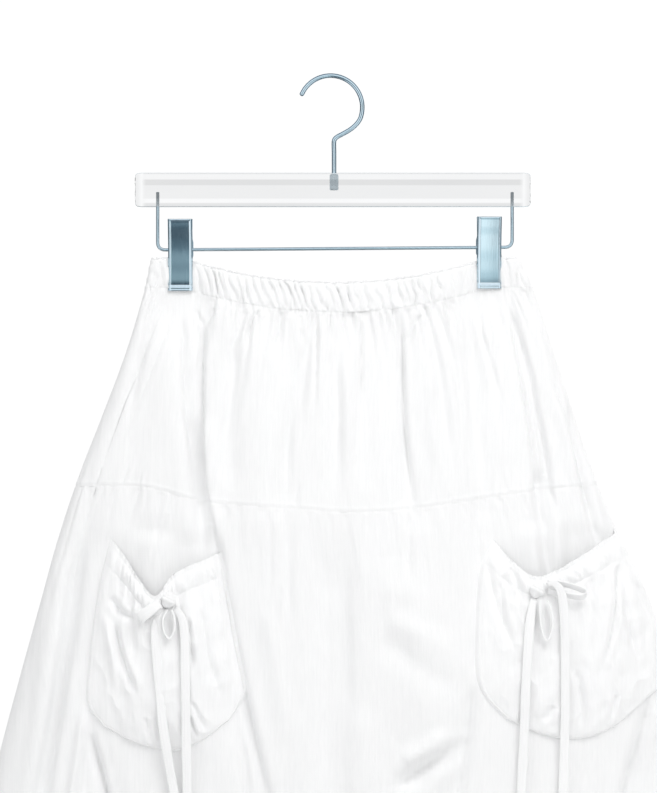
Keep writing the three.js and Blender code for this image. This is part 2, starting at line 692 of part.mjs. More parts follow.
function addBar() {
  const half = BAR.length / 2 - BAR.bevel;
  const tall = BAR.height / 2 - BAR.bevel;
  const { corner } = BAR;
  const outline = new THREE.Shape();
  outline.moveTo(-half + corner, -tall);
  outline.lineTo(half - corner, -tall);
  outline.absarc(half - corner, -tall + corner, corner, -Math.PI / 2, 0);
  outline.absarc(half - corner, tall - corner, corner, 0, Math.PI / 2);
  outline.absarc(-half + corner, tall - corner, corner, Math.PI / 2, Math.PI);
  outline.absarc(-half + corner, -tall + corner, corner, Math.PI, 1.5 * Math.PI);
  const geometry = new THREE.ExtrudeGeometry(outline, {
    depth: BAR.depth - 2 * BAR.bevel,
    bevelSize: BAR.bevel,
    bevelThickness: BAR.bevel,
    bevelSegments: 2,
    curveSegments: 5,
  });
  geometry.translate(0, 0, -BAR.depth / 2 + BAR.bevel);
  geometry.rotateX(Math.PI / 2);
  geometry.translate(0, 0, BAR.topZ - BAR.height / 2);
  const bottomZ = BAR.topZ - BAR.height;
  const socketFoot = STEM.footZ - 2 * WIRE_GAP - SOCKET.floor;
  const bores = [
    drill(STEM.x, SOCKET.radius + WIRE_GAP, socketFoot, BAR.topZ + 1),
    drill(ROD.left, ROD.wire / 2 + WIRE_GAP, bottomZ - 1, ROD.topZ + WIRE_GAP),
    drill(ROD.right, ROD.wire / 2 + WIRE_GAP, bottomZ - 1, ROD.topZ + WIRE_GAP),
  ];
  const bar = bores.reduce((solid, bore) => solid.subtract(bore), solidOf(geometry));
  addMesh('hanger_bar', geometryOf(bar), CLEAR);
}

// Straight lines from corner to corner, with each corner rounded.
function roundedPath(corners, bend) {
  const path = new THREE.CurvePath();
  let from = corners[0];
  for (let index = 1; index < corners.length - 1; index += 1) {
    const corner = corners[index];
    const start = corner.clone().add(from.clone().sub(corner).setLength(bend));
    const end = corner.clone().add(corners[index + 1].clone().sub(corner).setLength(bend));
    path.add(new THREE.LineCurve3(from, start));
    path.add(new THREE.QuadraticBezierCurve3(start, corner, end));
    from = end;
  }
  path.add(new THREE.LineCurve3(from, corners.at(-1)));
  return path;
}

function addRod() {
  const corners = [
    [ROD.left, 0, ROD.topZ],
    [ROD.left, 0, ROD.leftZ],
    [ROD.right, 0, ROD.rightZ],
    [ROD.right, 0, ROD.topZ],
  ];
  const path = roundedPath(corners.map(vector), ROD.bend);
  addMesh('hanger_rod', roundBar(path, ROD.wire / 2, 76), STEEL);
}

// A block of one side view, level across its width. Distances out from the rod are taken to
// the front where side is -1, and to the back where it is 1.
function sideBlock(outline, width, side) {
  const shape = new THREE.Shape(outline.map(({ out, high }) => new THREE.Vector2(side * out, high)));
  const geometry = new THREE.ExtrudeGeometry(shape, { depth: width, bevelEnabled: false });
  geometry.translate(0, 0, -width / 2);
  const turn = new THREE.Matrix4().makeBasis(
    new THREE.Vector3(0, 1, 0),
    new THREE.Vector3(0, 0, 1),
    new THREE.Vector3(1, 0, 0),
  );
  return solidOf(geometry.applyMatrix4(turn));
}

// One half of a clip: a bent plate with an ear at each side that the rod passes through.
function clipHalf(width, side) {
  const inside = CLIP_PROFILE.map(({ high, out }) => ({ high, out: out - CLIP.plate })).reverse();
  const plateFoot = inside.filter(({ high }) => high < CLIP_EAR[0].high);
  const whole = sideBlock([...CLIP_PROFILE, ...plateFoot, ...CLIP_EAR], width, side);
  const margin = 1;
  const foot = inside[0];
  const top = inside.at(-1);
  const behind = CLIP_EAR[1].out - margin;
  const hollow = [
    ...inside,
    { high: top.high + margin, out: top.out },
    { high: top.high + margin, out: behind },
    { high: foot.high - margin, out: behind },
    { high: foot.high - margin, out: foot.out },
  ];
  const channel = whole.subtract(sideBlock(hollow, width - 2 * CLIP.plate, side));
  const radius = ROD.wire / 2 + WIRE_GAP;
  const hole = new THREE.CylinderGeometry(radius, radius, width + 2 * margin, BORE_SIDES);
  return geometryOf(channel.subtract(solidOf(hole.rotateZ(Math.PI / 2))));
}

function springGeometry() {
  const inner = ROD.wire / 2 + WIRE_GAP;
  const half = SPRING.length / 2;
  const profile = [
    [inner, -half],
    [SPRING.radius, -half],
    [SPRING.radius, half],
    [inner, half],
    [inner, -half],
  ].map(([radius, along]) => new THREE.Vector2(radius, along));
  return new THREE.LatheGeometry(profile, BORE_SIDES).rotateZ(Math.PI / 2);
}

function addClip(name, x) {
  const pieces = [
    addMesh(`clip_front_${name}`, clipHalf(CLIP.frontWidth, -1), STEEL),
    addMesh(`clip_back_${name}`, clipHalf(CLIP.backWidth, 1), STEEL),
    addMesh(`clip_spring_${name}`, springGeometry(), STEEL),
  ];
  for (const piece of pieces) {
    piece.position.set(x, 0, rodZ(x));
  }
}

// ---------------------------------------------------------------- assembly

addBand('waistband', DOWN.band, bandTop, above(bandBottom), BAND_CLOTH, RUCHE);
addPanel('yoke_front', DOWN.yoke, 0, below(bandBottom), above(yokeSeam));
addPanel('yoke_back', DOWN.yoke, 1, below(bandBottom), above(yokeSeam));
addPanel('lower_front', DOWN.lower, 0, below(yokeSeam), above(hemSeam));
addPanel('lower_back', DOWN.lower, 1, below(yokeSeam), above(hemSeam));
addBand('hem_band', DOWN.hem, below(hemSeam), hemLine, CLOTH, HEM_GATHER);
for (const pocket of POCKETS) {
  addPocket(pocket);
}
for (const ties of TIES) {
  addTies(ties);
}
addHook();
addSocket();
addBar();
addRod();
for (const [name, x] of Object.entries(CLIP_X)) {
  addClip(name, x);
}

export default group;
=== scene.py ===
# The finish of a white cotton balloon skirt that hangs from a clear clip hanger.
# Metres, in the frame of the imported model: +Z up, the front faces -Y, the origin at the inside top
# of the hook. Tables of sizes are in millimetres where they say so, and MM turns them into metres.

import math

import bpy
import numpy as np
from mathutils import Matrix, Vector


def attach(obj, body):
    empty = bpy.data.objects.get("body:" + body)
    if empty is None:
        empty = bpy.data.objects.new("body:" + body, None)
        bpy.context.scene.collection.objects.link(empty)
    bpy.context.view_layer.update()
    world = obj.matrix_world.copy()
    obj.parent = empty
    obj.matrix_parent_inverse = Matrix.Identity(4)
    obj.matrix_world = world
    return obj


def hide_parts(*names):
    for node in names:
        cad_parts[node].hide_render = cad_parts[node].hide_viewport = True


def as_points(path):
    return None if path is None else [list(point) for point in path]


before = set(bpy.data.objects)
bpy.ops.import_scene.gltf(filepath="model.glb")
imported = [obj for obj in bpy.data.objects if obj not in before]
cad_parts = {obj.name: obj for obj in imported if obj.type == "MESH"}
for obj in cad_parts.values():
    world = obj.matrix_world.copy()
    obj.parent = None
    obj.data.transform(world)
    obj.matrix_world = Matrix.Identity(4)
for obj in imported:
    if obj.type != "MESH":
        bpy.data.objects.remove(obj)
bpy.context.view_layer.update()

MM = 0.001

# ---------------------------------------------------------------- camera, light and floor

SENSOR = 36
VIEW_DISTANCE = 6.0
VIEW_HEIGHT = 0.7137  # what the picture's height covers at the hanger
VIEW_X, VIEW_Z = -0.0038, -0.2867
FLOOR_Z = -1.06
FLOOR_HALF = 4.5
FLOOR_FADE = 1.7  # the floor is white to the camera from this far from the skirt
WHITE = (1.02, 1.02, 1.02, 1)  # the room as the camera sees it


def make_camera():
    data = bpy.data.cameras.new("camera")
    data.sensor_width = SENSOR
    data.lens = SENSOR * VIEW_DISTANCE / VIEW_HEIGHT
    camera = bpy.data.objects.new("camera", data)
    camera.location = (VIEW_X, -VIEW_DISTANCE, VIEW_Z)
    camera.rotation_euler = (math.pi / 2, 0, 0)
    bpy.context.scene.collection.objects.link(camera)
    bpy.context.scene.camera = camera


def add_light(name, place, target, size, power, color):
    """A soft lamp that lights the scene without being seen in it."""
    data = bpy.data.lights.new(name, "AREA")
    data.shape = "RECTANGLE"
    data.size, data.size_y = size
    data.energy = power
    data.color = color
    light = bpy.data.objects.new(name, data)
    light.location = place
    aim = Vector(np.array(target) - np.array(place))
    light.rotation_euler = aim.to_track_quat("-Z", "Y").to_euler()
    light.visible_camera = light.visible_transmission = light.visible_glossy = False
    bpy.context.scene.collection.objects.link(light)


class Nodes:
    """A short way to write a node tree. Values are numbers, colours or the outputs of other nodes."""

    def __init__(self, tree):
        self.tree = tree
        tree.nodes.clear()

    def fill(self, node, inputs):
        for key, value in inputs.items():
            if isinstance(value, bpy.types.NodeSocket):
                self.tree.links.new(value, node.inputs[key])
            else:
                node.inputs[key].default_value = value

    def add(self, kind, inputs=None, **settings):
        node = self.tree.nodes.new("ShaderNode" + kind)
        for key, value in settings.items():
            setattr(node, key, value)
        self.fill(node, inputs or {})
        return node

    def split(self, vector):
        return self.add("SeparateXYZ", {0: vector}).outputs

    def math(self, operation, *values):
        return self.add("Math", dict(enumerate(values)), operation=operation).outputs[0]

    def ramp(self, source, stops):
        node = self.add("ValToRGB", {0: source})
        elements = node.color_ramp.elements
        while len(elements) < len(stops):
            elements.new(0.5)
        for element, (place, color) in zip(elements, stops):
            element.position = place
            element.color = (*color, 1) if isinstance(color, tuple) else (color, color, color, 1)
        return node.outputs[0]

    def mix(self, share, first, second, blend_type="MIX"):
        inputs = {0: share, 6: first, 7: second}
        return self.add("Mix", inputs, data_type="RGBA", blend_type=blend_type).outputs[2]

    def noise(self, place, scale, detail, seed=0, roughness=0.5, **settings):
        mapped = self.add("Mapping", {"Vector": place, "Scale": scale, "Location": (seed, 1.7 * seed, 0)})
        inputs = {"Vector": mapped.outputs[0], "Scale": 1, "Detail": detail, "Roughness": roughness}
        return self.add("TexNoise", inputs, **settings).outputs[0]

    def bump(self, height, strength, distance):
        return self.add("Bump", {"Height": height, "Strength": strength, "Distance": distance}).outputs[0]


def make_world():
    """A white room for the camera, soft grey light for the cloth and a studio for shiny metal to see."""
    world = bpy.data.worlds.new("studio")
    bpy.context.scene.world = world
    world.use_nodes = True
    n = Nodes(world.node_tree)
    way = n.split(n.add("TexCoord").outputs["Generated"])
    aside, front, height = (n.math("MULTIPLY_ADD", way[axis], 0.5, 0.5) for axis in "XYZ")
    # The studio: a slate front, pale to the right of its middle, between two tall white screens.
    slate = n.ramp(
        height,
        [
            (0.0, (0.20, 0.26, 0.31)), (0.33, (0.060, 0.098, 0.128)), (0.40, (0.10, 0.165, 0.21)),
            (0.455, (0.26, 0.38, 0.44)), (0.48, (0.28, 0.41, 0.47)), (0.52, (0.05, 0.085, 0.11)),
            (0.575, (0.05, 0.085, 0.11)), (0.61, (0.80, 0.92, 1.0)), (1.0, (0.75, 0.82, 0.88)),
        ],
    )
    pale = n.ramp(
        height,
        [
            (0.0, (0.30, 0.36, 0.40)), (0.28, (0.62, 0.82, 0.89)), (0.34, (0.95, 1.12, 1.18)),
            (0.42, (0.90, 1.08, 1.14)), (0.46, (0.60, 0.80, 0.88)), (0.52, (0.36, 0.50, 0.57)),
            (0.575, (0.30, 0.42, 0.48)), (0.61, (0.95, 1.02, 1.06)), (1.0, (0.75, 0.82, 0.88)),
        ],
    )
    right_share = n.ramp(aside, [(0.49, 0.0), (0.525, 1.0), (0.565, 1.0), (0.63, 0.35), (0.70, 0.2)])
    studio = n.mix(right_share, slate, pale)
    screen = n.ramp(n.math("ABSOLUTE", way["X"]), [(0.34, 0.0), (0.46, 1.0), (0.80, 1.0), (0.92, 0.0)])
    studio = n.mix(screen, studio, (1.0, 1.06, 1.1, 1))
    around = n.ramp(
        front,
        [
            (0.0, 1.0), (0.22, (0.9, 0.96, 1)), (0.38, (0.16, 0.22, 0.27)),
            (0.72, (0.10, 0.14, 0.17)), (0.93, (0.5, 0.56, 0.6)), (1.0, (0.95, 0.97, 1)),
        ],
    )
    studio = n.mix(1, studio, around, "MULTIPLY")
    rays = n.add("LightPath").outputs
    soft = n.ramp(height, [(0.0, (0.46, 0.465, 0.47)), (0.5, 0.58), (1.0, 0.74)])
    color = n.mix(rays["Is Glossy Ray"], soft, studio)
    color = n.mix(rays["Is Transmission Ray"], color, (0.97, 0.975, 0.98, 1))
    color = n.mix(rays["Is Camera Ray"], color, WHITE)
    n.add("OutputWorld", {0: n.add("Background", {"Color": color}).outputs[0]})


def make_floor():
    half = FLOOR_HALF
    mesh = bpy.data.meshes.new("floor")
    corners = [(x, y, FLOOR_Z) for x, y in ((-half, -half), (half, -half), (half, half), (-half, half))]
    mesh.from_pydata(corners, [], [(0, 1, 2, 3)])
    floor = bpy.data.objects.new("floor", mesh)
    bpy.context.scene.collection.objects.link(floor)
    material = bpy.data.materials.new("pale_floor")
    material.use_nodes = True
    n = Nodes(material.node_tree)
    shader = n.add("BsdfPrincipled", {"Base Color": (0.86, 0.86, 0.86, 1), "Roughness": 0.9})
    # Away from the skirt the floor is seen as white as the room behind it, so it has no edge.
    place = n.add("NewGeometry").outputs["Position"]
    distance = n.add("VectorMath", {0: place, 1: (0, 0, FLOOR_Z)}, operation="DISTANCE").outputs["Value"]
    away = n.ramp(n.math("DIVIDE", distance, FLOOR_FADE), [(0.25, 0.0), (1.0, 1.0)])
    seen = n.math("MULTIPLY", away, n.add("LightPath").outputs["Is Camera Ray"])
    white = n.add("Emission", {"Color": WHITE})
    blend = n.add("MixShader", {0: seen, 1: shader.outputs[0], 2: white.outputs[0]})
    n.add("OutputMaterial", {0: blend.outputs[0]})
    mesh.materials.append(material)
    floor.visible_glossy = False


make_camera()
make_world()
make_floor()
add_light("key", (0.8, -1.65, 1.3), (0.0, 0.0, -0.45), (1.5, 1.5), 25, (1, 1, 1))
add_light("fill", (-1.7, -1.5, 1.15), (0.0, 0.0, -0.35), (1.4, 1.6), 9.4, (0.98, 0.99, 1))
add_light("back", (1.3, 2.1, 1.4), (0.0, 0.0, -0.45), (1.5, 1.5), 38, (1, 1, 1))
bpy.context.scene.view_settings.view_transform = "Standard"
bpy.context.scene.view_settings.look = "None"

# ---------------------------------------------------------------- materials

YARN_PITCH = 0.0011
THREAD_HALF_WIDTH = 0.00042
STITCH_HALF_SHARE = 0.34  # half of what a stitch takes of its pitch
# The clear bar, in millimetres.
BAR_HALF, BAR_TOP, BAR_HEIGHT, BAR_DEEP, BAR_CORNER = 178, -85.5, 30.6, 6, 4


def new_material(name):
    material = bpy.data.materials.new(name)
    material.use_nodes = True
    n = Nodes(material.node_tree)
    shader = n.add("BsdfPrincipled")
    n.add("OutputMaterial", {0: shader.outputs[0]})
    return material, n, shader


def stitch_mask(n, seam, offset, pitch):
    """A dashed line of thread at one distance from a seam. seam is (distance from it, distance along it)."""
    place = n.split(seam)
    away = n.math("ABSOLUTE", n.math("SUBTRACT", place["X"], offset))
    step = n.math("FRACT", n.math("DIVIDE", place["Y"], pitch))
    from_middle = n.math("ABSOLUTE", n.math("SUBTRACT", step, 0.5))
    beside = n.math("LESS_THAN", away, THREAD_HALF_WIDTH)
    return n.math("MULTIPLY", beside, n.math("LESS_THAN", from_middle, STITCH_HALF_SHARE))


def make_cotton(name, crinkle=1.0, stitches=None, painted_light=0.0):
    """Crisp white cotton: a fine upright crinkle, a plain weave, slubs and a soft sheen.

    stitches is the distance from the edge and the pitch, and the last argument lifts the cloth's colour:
    painted light that offsets the shade the pockets and ties sit in.
    """
    material, n, shader = new_material(name)
    uv = n.add("UVMap", uv_map="cut").outputs[0]
    # Each kind of grain: its size across and along the cloth, its detail and its seed.
    fine, broad, slub = (
        n.noise(uv, (1 / across, 1 / along, 1), detail, seed, 0.55, noise_dimensions="2D")
        for across, along, detail, seed in (
            (0.0021, 0.034, 3, 3.1), (0.0075, 0.11, 2, 8.4), (0.0006, 0.012, 1, 5.9),
        )
    )
    up, over = (
        n.add("TexWave", {"Vector": uv, "Scale": 1 / YARN_PITCH / 6.283}, bands_direction=axis).outputs[1]
        for axis in "XY"
    )
    height = n.math("MULTIPLY", fine, 0.22 * crinkle)
    height = n.math("MULTIPLY_ADD", broad, 0.5 * crinkle, height)
    height = n.math("MULTIPLY_ADD", slub, 0.10, height)
    height = n.math("MULTIPLY_ADD", n.math("MULTIPLY", up, over), 0.05, height)
    shade = n.math("MULTIPLY_ADD", fine, 0.6, n.math("MULTIPLY", slub, 0.4))
    # The colours are raised by the painted light, if any is given.
    color = n.ramp(shade, [(0.25, (0.885 + painted_light, 0.887 + painted_light, 0.89 + painted_light)), (0.75, 0.935 + painted_light)])
    if stitches:
        mask = stitch_mask(n, n.add("UVMap", uv_map="seam").outputs[0], *stitches)
        height = n.math("MULTIPLY_ADD", mask, 0.5, height)
        color = n.mix(mask, color, (0.97, 0.97, 0.97, 1))
    n.fill(shader, {
        "Base Color": color, "Normal": n.bump(height, 0.55, 0.0011), "Roughness": 0.78,
        "Sheen Weight": 0.12, "Sheen Roughness": 0.5, "Specular IOR Level": 0.25,
    })
    return material


def make_steel(name, tint, roughness, grain, painted_shade_above=None):
    """Plated steel with faint drawing marks. Above a given height, where the clear bar holds it, it is
    painted a dull, unshiny grey that darkens further up: painted shade.
    """
    material, n, shader = new_material(name)
    place = n.add("TexCoord").outputs["Object"]
    marks = n.noise(place, grain, 3)
    color = n.ramp(marks, [(0.3, tuple(0.93 * c for c in tint)), (0.7, tint)])
    n.fill(shader, {
        "Base Color": color, "Metallic": 1,
        "Roughness": n.math("MULTIPLY_ADD", marks, 0.10, roughness), "Normal": n.bump(marks, 0.12, 0.0002),
    })
    # Painted shade: inside the clear bar the rod is painted dull grey, darker the further in it runs, and it
    # loses its shine.
    if painted_shade_above is not None:
        depth = n.math("MULTIPLY_ADD", n.split(place)["Z"], 100, -100 * painted_shade_above)
        shade_greys = [(0.0, 1.0), (0.12, (0.62, 0.63, 0.64)), (0.5, (0.40, 0.41, 0.42)), (0.9, (0.30, 0.31, 0.32))]
        painted_dull_shade = n.mix(1, color, n.ramp(depth, shade_greys), "MULTIPLY")
        n.fill(shader, {"Base Color": painted_dull_shade, "Metallic": n.ramp(depth, [(0.0, 1.0), (0.12, 0.0)])})
    return material


def make_clear():
    """Clear moulded plastic, with faint flow marks, painted grey bands and a painted bright band where its
    steps would shade and light it, and painted highlight and shade at its ends.
    """
    material, n, shader = new_material("clear_plastic")
    place = n.add("TexCoord").outputs["Object"]
    flow = n.noise(place, (9, 60, 60), 2)
    way = n.split(place)
    drop = n.math("DIVIDE", n.math("SUBTRACT", BAR_TOP * MM, way["Z"]), BAR_HEIGHT * MM)
    # Painted shade and highlight: grey bands and one bright band down the bar, standing in for the light its
    # steps would bend.
    bands = n.ramp(
        drop,
        [
            (0.0, 0.84), (0.05, 0.96), (0.19, 0.95), (0.21, 0.79), (0.345, 0.79), (0.37, 0.90),
            (0.74, 0.90), (0.77, 0.995), (0.87, 0.995), (0.90, 0.84), (1.0, (0.78, 0.79, 0.80)),
        ],
    )
    # Painted highlight and shade at each end: a bright strip, then darker towards the end face.
    from_middle = n.math("ABSOLUTE", way["X"])
    end_share = n.ramp(from_middle, [(0.1685, 0.0), (0.1695, 1.0)])
    ends = n.ramp(from_middle, [(0.1695, 0.90), (0.1705, 1.0), (0.1735, 1.0), (0.1745, 0.92), (0.178, 0.86)])
    marks = n.ramp(flow, [(0.3, (0.97, 0.972, 0.975)), (0.7, 1.0)])
    n.fill(shader, {
        "Base Color": n.mix(1, n.mix(end_share, bands, ends), marks, "MULTIPLY"),
        "Roughness": n.math("MULTIPLY_ADD", flow, 0.08, 0.04), "Transmission Weight": 1, "IOR": 1.05,
    })
    return material


PLATING, FINE_MARKS = (0.80, 0.88, 0.92), (260, 260, 260)
cotton = make_cotton("cotton")
cotton_band = make_cotton("cotton_band", crinkle=0.5)
# The pockets and ties are the same cotton, painted lighter to offset the shade they sit in.
cotton_pocket = make_cotton("cotton_pocket", crinkle=0.8, stitches=(0.0032, 0.0027), painted_light=0.022)
cotton_tie = make_cotton("cotton_tie", crinkle=0.35, stitches=(0.0016, 0.0026), painted_light=0.022)
steel = make_steel("bright_steel", PLATING, 0.10, FINE_MARKS)
# The rod is painted shaded and dull where it runs inside the clear bar.
steel_rod = make_steel("rod_steel", PLATING, 0.10, FINE_MARKS, (BAR_TOP - BAR_HEIGHT) * MM)
steel_dark = make_steel("socket_steel", (0.50, 0.57, 0.61), 0.22, FINE_MARKS)
steel_plate = make_steel("clip_steel", (0.86, 0.92, 0.95), 0.09, (900, 900, 30))
clear = make_clear()

# ---------------------------------------------------------------- pieces


def add_piece(name, node, points, quads, material, layers):
    """A smooth mesh that rides on the skirt and stands for a CAD node. layers are its UV maps."""
    mesh = bpy.data.meshes.new(name)
    mesh.from_pydata(points.reshape(-1, 3).tolist(), [], [tuple(int(i) for i in q) for q in quads])
    mesh.validate()
    mesh.shade_smooth()
    corner = np.empty(len(mesh.loops), dtype=np.int32)
    mesh.loops.foreach_get("vertex_index", corner)
    for layer_name, values in layers.items():
        layer = mesh.uv_layers.new(name=layer_name)
        layer.data.foreach_set("uv", np.asarray(values, dtype=np.float32)[corner].ravel())
    mesh.materials.append(material)
    piece = bpy.data.objects.new(name, mesh)
    bpy.context.scene.collection.objects.link(piece)
    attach(piece, "root")
    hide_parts(node)
    return piece


def add_cloth(node, points, quads, material, **layers):
    """A piece of cloth. Its points, and its places in each UV map, are in millimetres."""
    maps = {key: np.stack(places, axis=-1).reshape(-1, 2) * MM for key, places in layers.items()}
    return add_piece(node + "_cloth", node, points * MM, quads, material, maps)


def add_steel(name, node, points, quads, material):
    return add_piece(name, node, points * MM, quads, material, {})


def grid_quads(rows, columns, wrap=False):
    """Faces of a grid whose rows run down and whose columns run right, seen from outside."""
    row, column = np.meshgrid(np.arange(rows - 1), np.arange(columns if wrap else columns - 1), indexing="ij")
    here, right = row * columns + column, row * columns + (column + 1) % columns
    return np.stack([c.ravel() for c in (here, here + columns, right + columns, right)], axis=1)


def capped_quads(rows, columns, inside_out=False):
    """Faces of a tube of rings, with a cap at each end."""
    quads = [tuple(q) for q in grid_quads(rows, columns, wrap=True)]
    quads += [tuple(range(columns))[::-1], tuple(range((rows - 1) * columns, rows * columns))]
    return [q[::-1] for q in quads] if inside_out else quads


def dense_curve(ends, steps):
    """A smooth line from the second point to the last but one, and the distance gone at each place."""
    t = np.linspace(0, 1, steps, endpoint=False)[:, None]
    dense = []
    for p0, p1, p2, p3 in zip(ends, ends[1:], ends[2:], ends[3:]):
        square, cube = 2 * p0 - 5 * p1 + 4 * p2 - p3, 3 * p1 - p0 - 3 * p2 + p3
        dense.append(0.5 * (2 * p1 + (p2 - p0) * t + square * t**2 + cube * t**3))
    dense = np.vstack([*dense, ends[-2]])
    return dense, np.concatenate([[0], np.cumsum(np.linalg.norm(np.diff(dense, axis=0), axis=1))])


def places_on(dense, gone, distances):
    return np.stack([np.interp(distances, gone, column) for column in dense.T], axis=-1)


def smooth_route(points, count):
    """A smooth line through given points, evenly spaced along it, and its length."""
    points = np.asarray(points, dtype=float)
    dense, gone = dense_curve(np.vstack([2 * points[0] - points[1], points, 2 * points[-1] - points[-2]]), 24)
    return places_on(dense, gone, np.linspace(0, gone[-1], count)), gone[-1]


def unit(vectors):
    return vectors / np.maximum(np.linalg.norm(vectors, axis=-1, keepdims=True), 1e-12)


def square_to(along, vectors):
    """Unit vectors near the given ones, at a right angle to along."""
    return unit(vectors - along * np.sum(vectors * along, axis=1, keepdims=True))


def mix(a, b, share):
    return a + (b - a) * share


def rise(share):
    t = np.clip(share, 0, 1)
    return t * t * (3 - 2 * t)


def bell(away):
    return np.exp(-(away**2))


NOISE_SIZE = 257


def value_noise(u, v, seed):
    """Smooth noise from -1 to 1 on a plane, with grains one unit across."""
    lattice = np.random.default_rng(seed).uniform(-1, 1, (NOISE_SIZE, NOISE_SIZE))
    i, j = np.floor(u).astype(int), np.floor(v).astype(int)
    across, down = rise(u - i), rise(v - j)

    def row(step):
        left, right = (lattice[(i + aside) % NOISE_SIZE, (j + step) % NOISE_SIZE] for aside in (0, 1))
        return left * (1 - across) + right * across

    return row(0) * (1 - down) + row(1) * down


# ---------------------------------------------------------------- drawstrings

# Routes in metres from the knot outwards, as the solids have them.
TIE_WIDTH = 0.0086
TAILS = {
    "tail_1_left": [
        (-0.1502, -0.0616, -0.4754), (-0.1545, -0.0626, -0.482), (-0.1574, -0.0642, -0.492),
        (-0.1572, -0.0656, -0.51), (-0.1558, -0.0662, -0.53), (-0.1536, -0.0664, -0.552),
        (-0.1514, -0.0656, -0.578), (-0.1474, -0.0636, -0.605), (-0.1438, -0.0628, -0.626),
        (-0.1408, -0.0636, -0.643), (-0.1404, -0.0646, -0.665), (-0.141, -0.0656, -0.69),
        (-0.1422, -0.0664, -0.712), (-0.1434, -0.0668, -0.735),
    ],
    "tail_2_left": [
        (-0.1406, -0.0618, -0.4758), (-0.136, -0.0634, -0.481), (-0.133, -0.0646, -0.49),
        (-0.1318, -0.0662, -0.505), (-0.1314, -0.0672, -0.525), (-0.131, -0.0676, -0.55),
        (-0.1306, -0.0672, -0.578), (-0.1302, -0.066, -0.605), (-0.1298, -0.065, -0.63),
        (-0.1298, -0.065, -0.655), (-0.1302, -0.0656, -0.68), (-0.1308, -0.0662, -0.7),
        (-0.1312, -0.0666, -0.718),
    ],
    "tail_1_right": [
        (0.1792, -0.0586, -0.4672), (0.1774, -0.0604, -0.476), (0.1758, -0.0618, -0.488),
        (0.1742, -0.063, -0.505), (0.173, -0.0634, -0.525), (0.1718, -0.0632, -0.548),
        (0.171, -0.0622, -0.572), (0.17, -0.0612, -0.596), (0.1688, -0.0616, -0.62),
        (0.1678, -0.0628, -0.643), (0.1674, -0.0644, -0.668), (0.1676, -0.0658, -0.695),
        (0.1682, -0.0668, -0.722), (0.169, -0.0674, -0.748),
    ],
    "tail_2_right": [
        (0.1906, -0.0632, -0.4544), (0.196, -0.064, -0.4528), (0.2012, -0.0642, -0.4566),
        (0.2044, -0.0638, -0.465), (0.206, -0.0632, -0.478), (0.2066, -0.0622, -0.495),
        (0.207, -0.0614, -0.515), (0.2072, -0.0608, -0.538), (0.2072, -0.06, -0.56),
        (0.2068, -0.0588, -0.585), (0.2062, -0.0582, -0.61), (0.2056, -0.059, -0.632),
        (0.2052, -0.061, -0.655), (0.205, -0.063, -0.68), (0.2052, -0.0642, -0.703), (0.2054, -0.065, -0.722),
    ],
}
# Width, the way across and the route.
LOOPS = {
    "loop_side_left": (0.011, (-0.57, 0, 0.82), [
        (-0.1542, -0.068, -0.4706), (-0.16, -0.0713, -0.475), (-0.167, -0.0717, -0.48),
        (-0.172, -0.0687, -0.484), (-0.168, -0.0659, -0.481), (-0.1603, -0.0655, -0.4758),
        (-0.1546, -0.0647, -0.471),
    ]),
    "loop_low_left": (0.0064, (0, -1, 0), [
        (-0.147, -0.0682, -0.4764), (-0.1508, -0.0684, -0.484), (-0.1506, -0.0688, -0.494),
        (-0.1456, -0.069, -0.502), (-0.1408, -0.0688, -0.495), (-0.1408, -0.0686, -0.4845),
        (-0.1432, -0.0682, -0.4764),
    ]),
    "loop_side_right": (0.0076, (0, -0.76, 0.65), [
        (0.1914, -0.058, -0.452), (0.202, -0.0582, -0.453), (0.214, -0.058, -0.456),
        (0.225, -0.0576, -0.4605), (0.222, -0.0576, -0.4654), (0.21, -0.0578, -0.464), (0.2, -0.058, -0.462),
        (0.1918, -0.058, -0.4604),
    ]),
    "loop_low_right": (0.0064, (0, -1, 0), [
        (0.1844, -0.064, -0.4676), (0.1842, -0.0643, -0.48), (0.1862, -0.0649, -0.494),
        (0.1908, -0.0653, -0.504), (0.1954, -0.0651, -0.494), (0.195, -0.0645, -0.48),
        (0.1912, -0.0641, -0.4686),
    ]),
}
KNOTS = {"knot_left": (-0.1460, -0.0638, -0.4680), "knot_right": (0.1825, -0.0596, -0.4590)}
KNOT_SIZE = (0.0072, 0.0054, 0.0068)
# Across a tie: shares of its half width, and the thickness there. One edge is a fold, one is stitched.
TIE_SHARES = np.array([-1, -0.97, -0.86, -0.66, -0.4, -0.12, 0.12, 0.4, 0.66, 0.86, 0.97, 1])
TIE_THICK = np.array([0.25, 0.62, 0.8, 0.62, 0.9, 1.0, 1.0, 0.95, 0.95, 0.9, 0.66, 0.3])
TIE_PLACES = 130


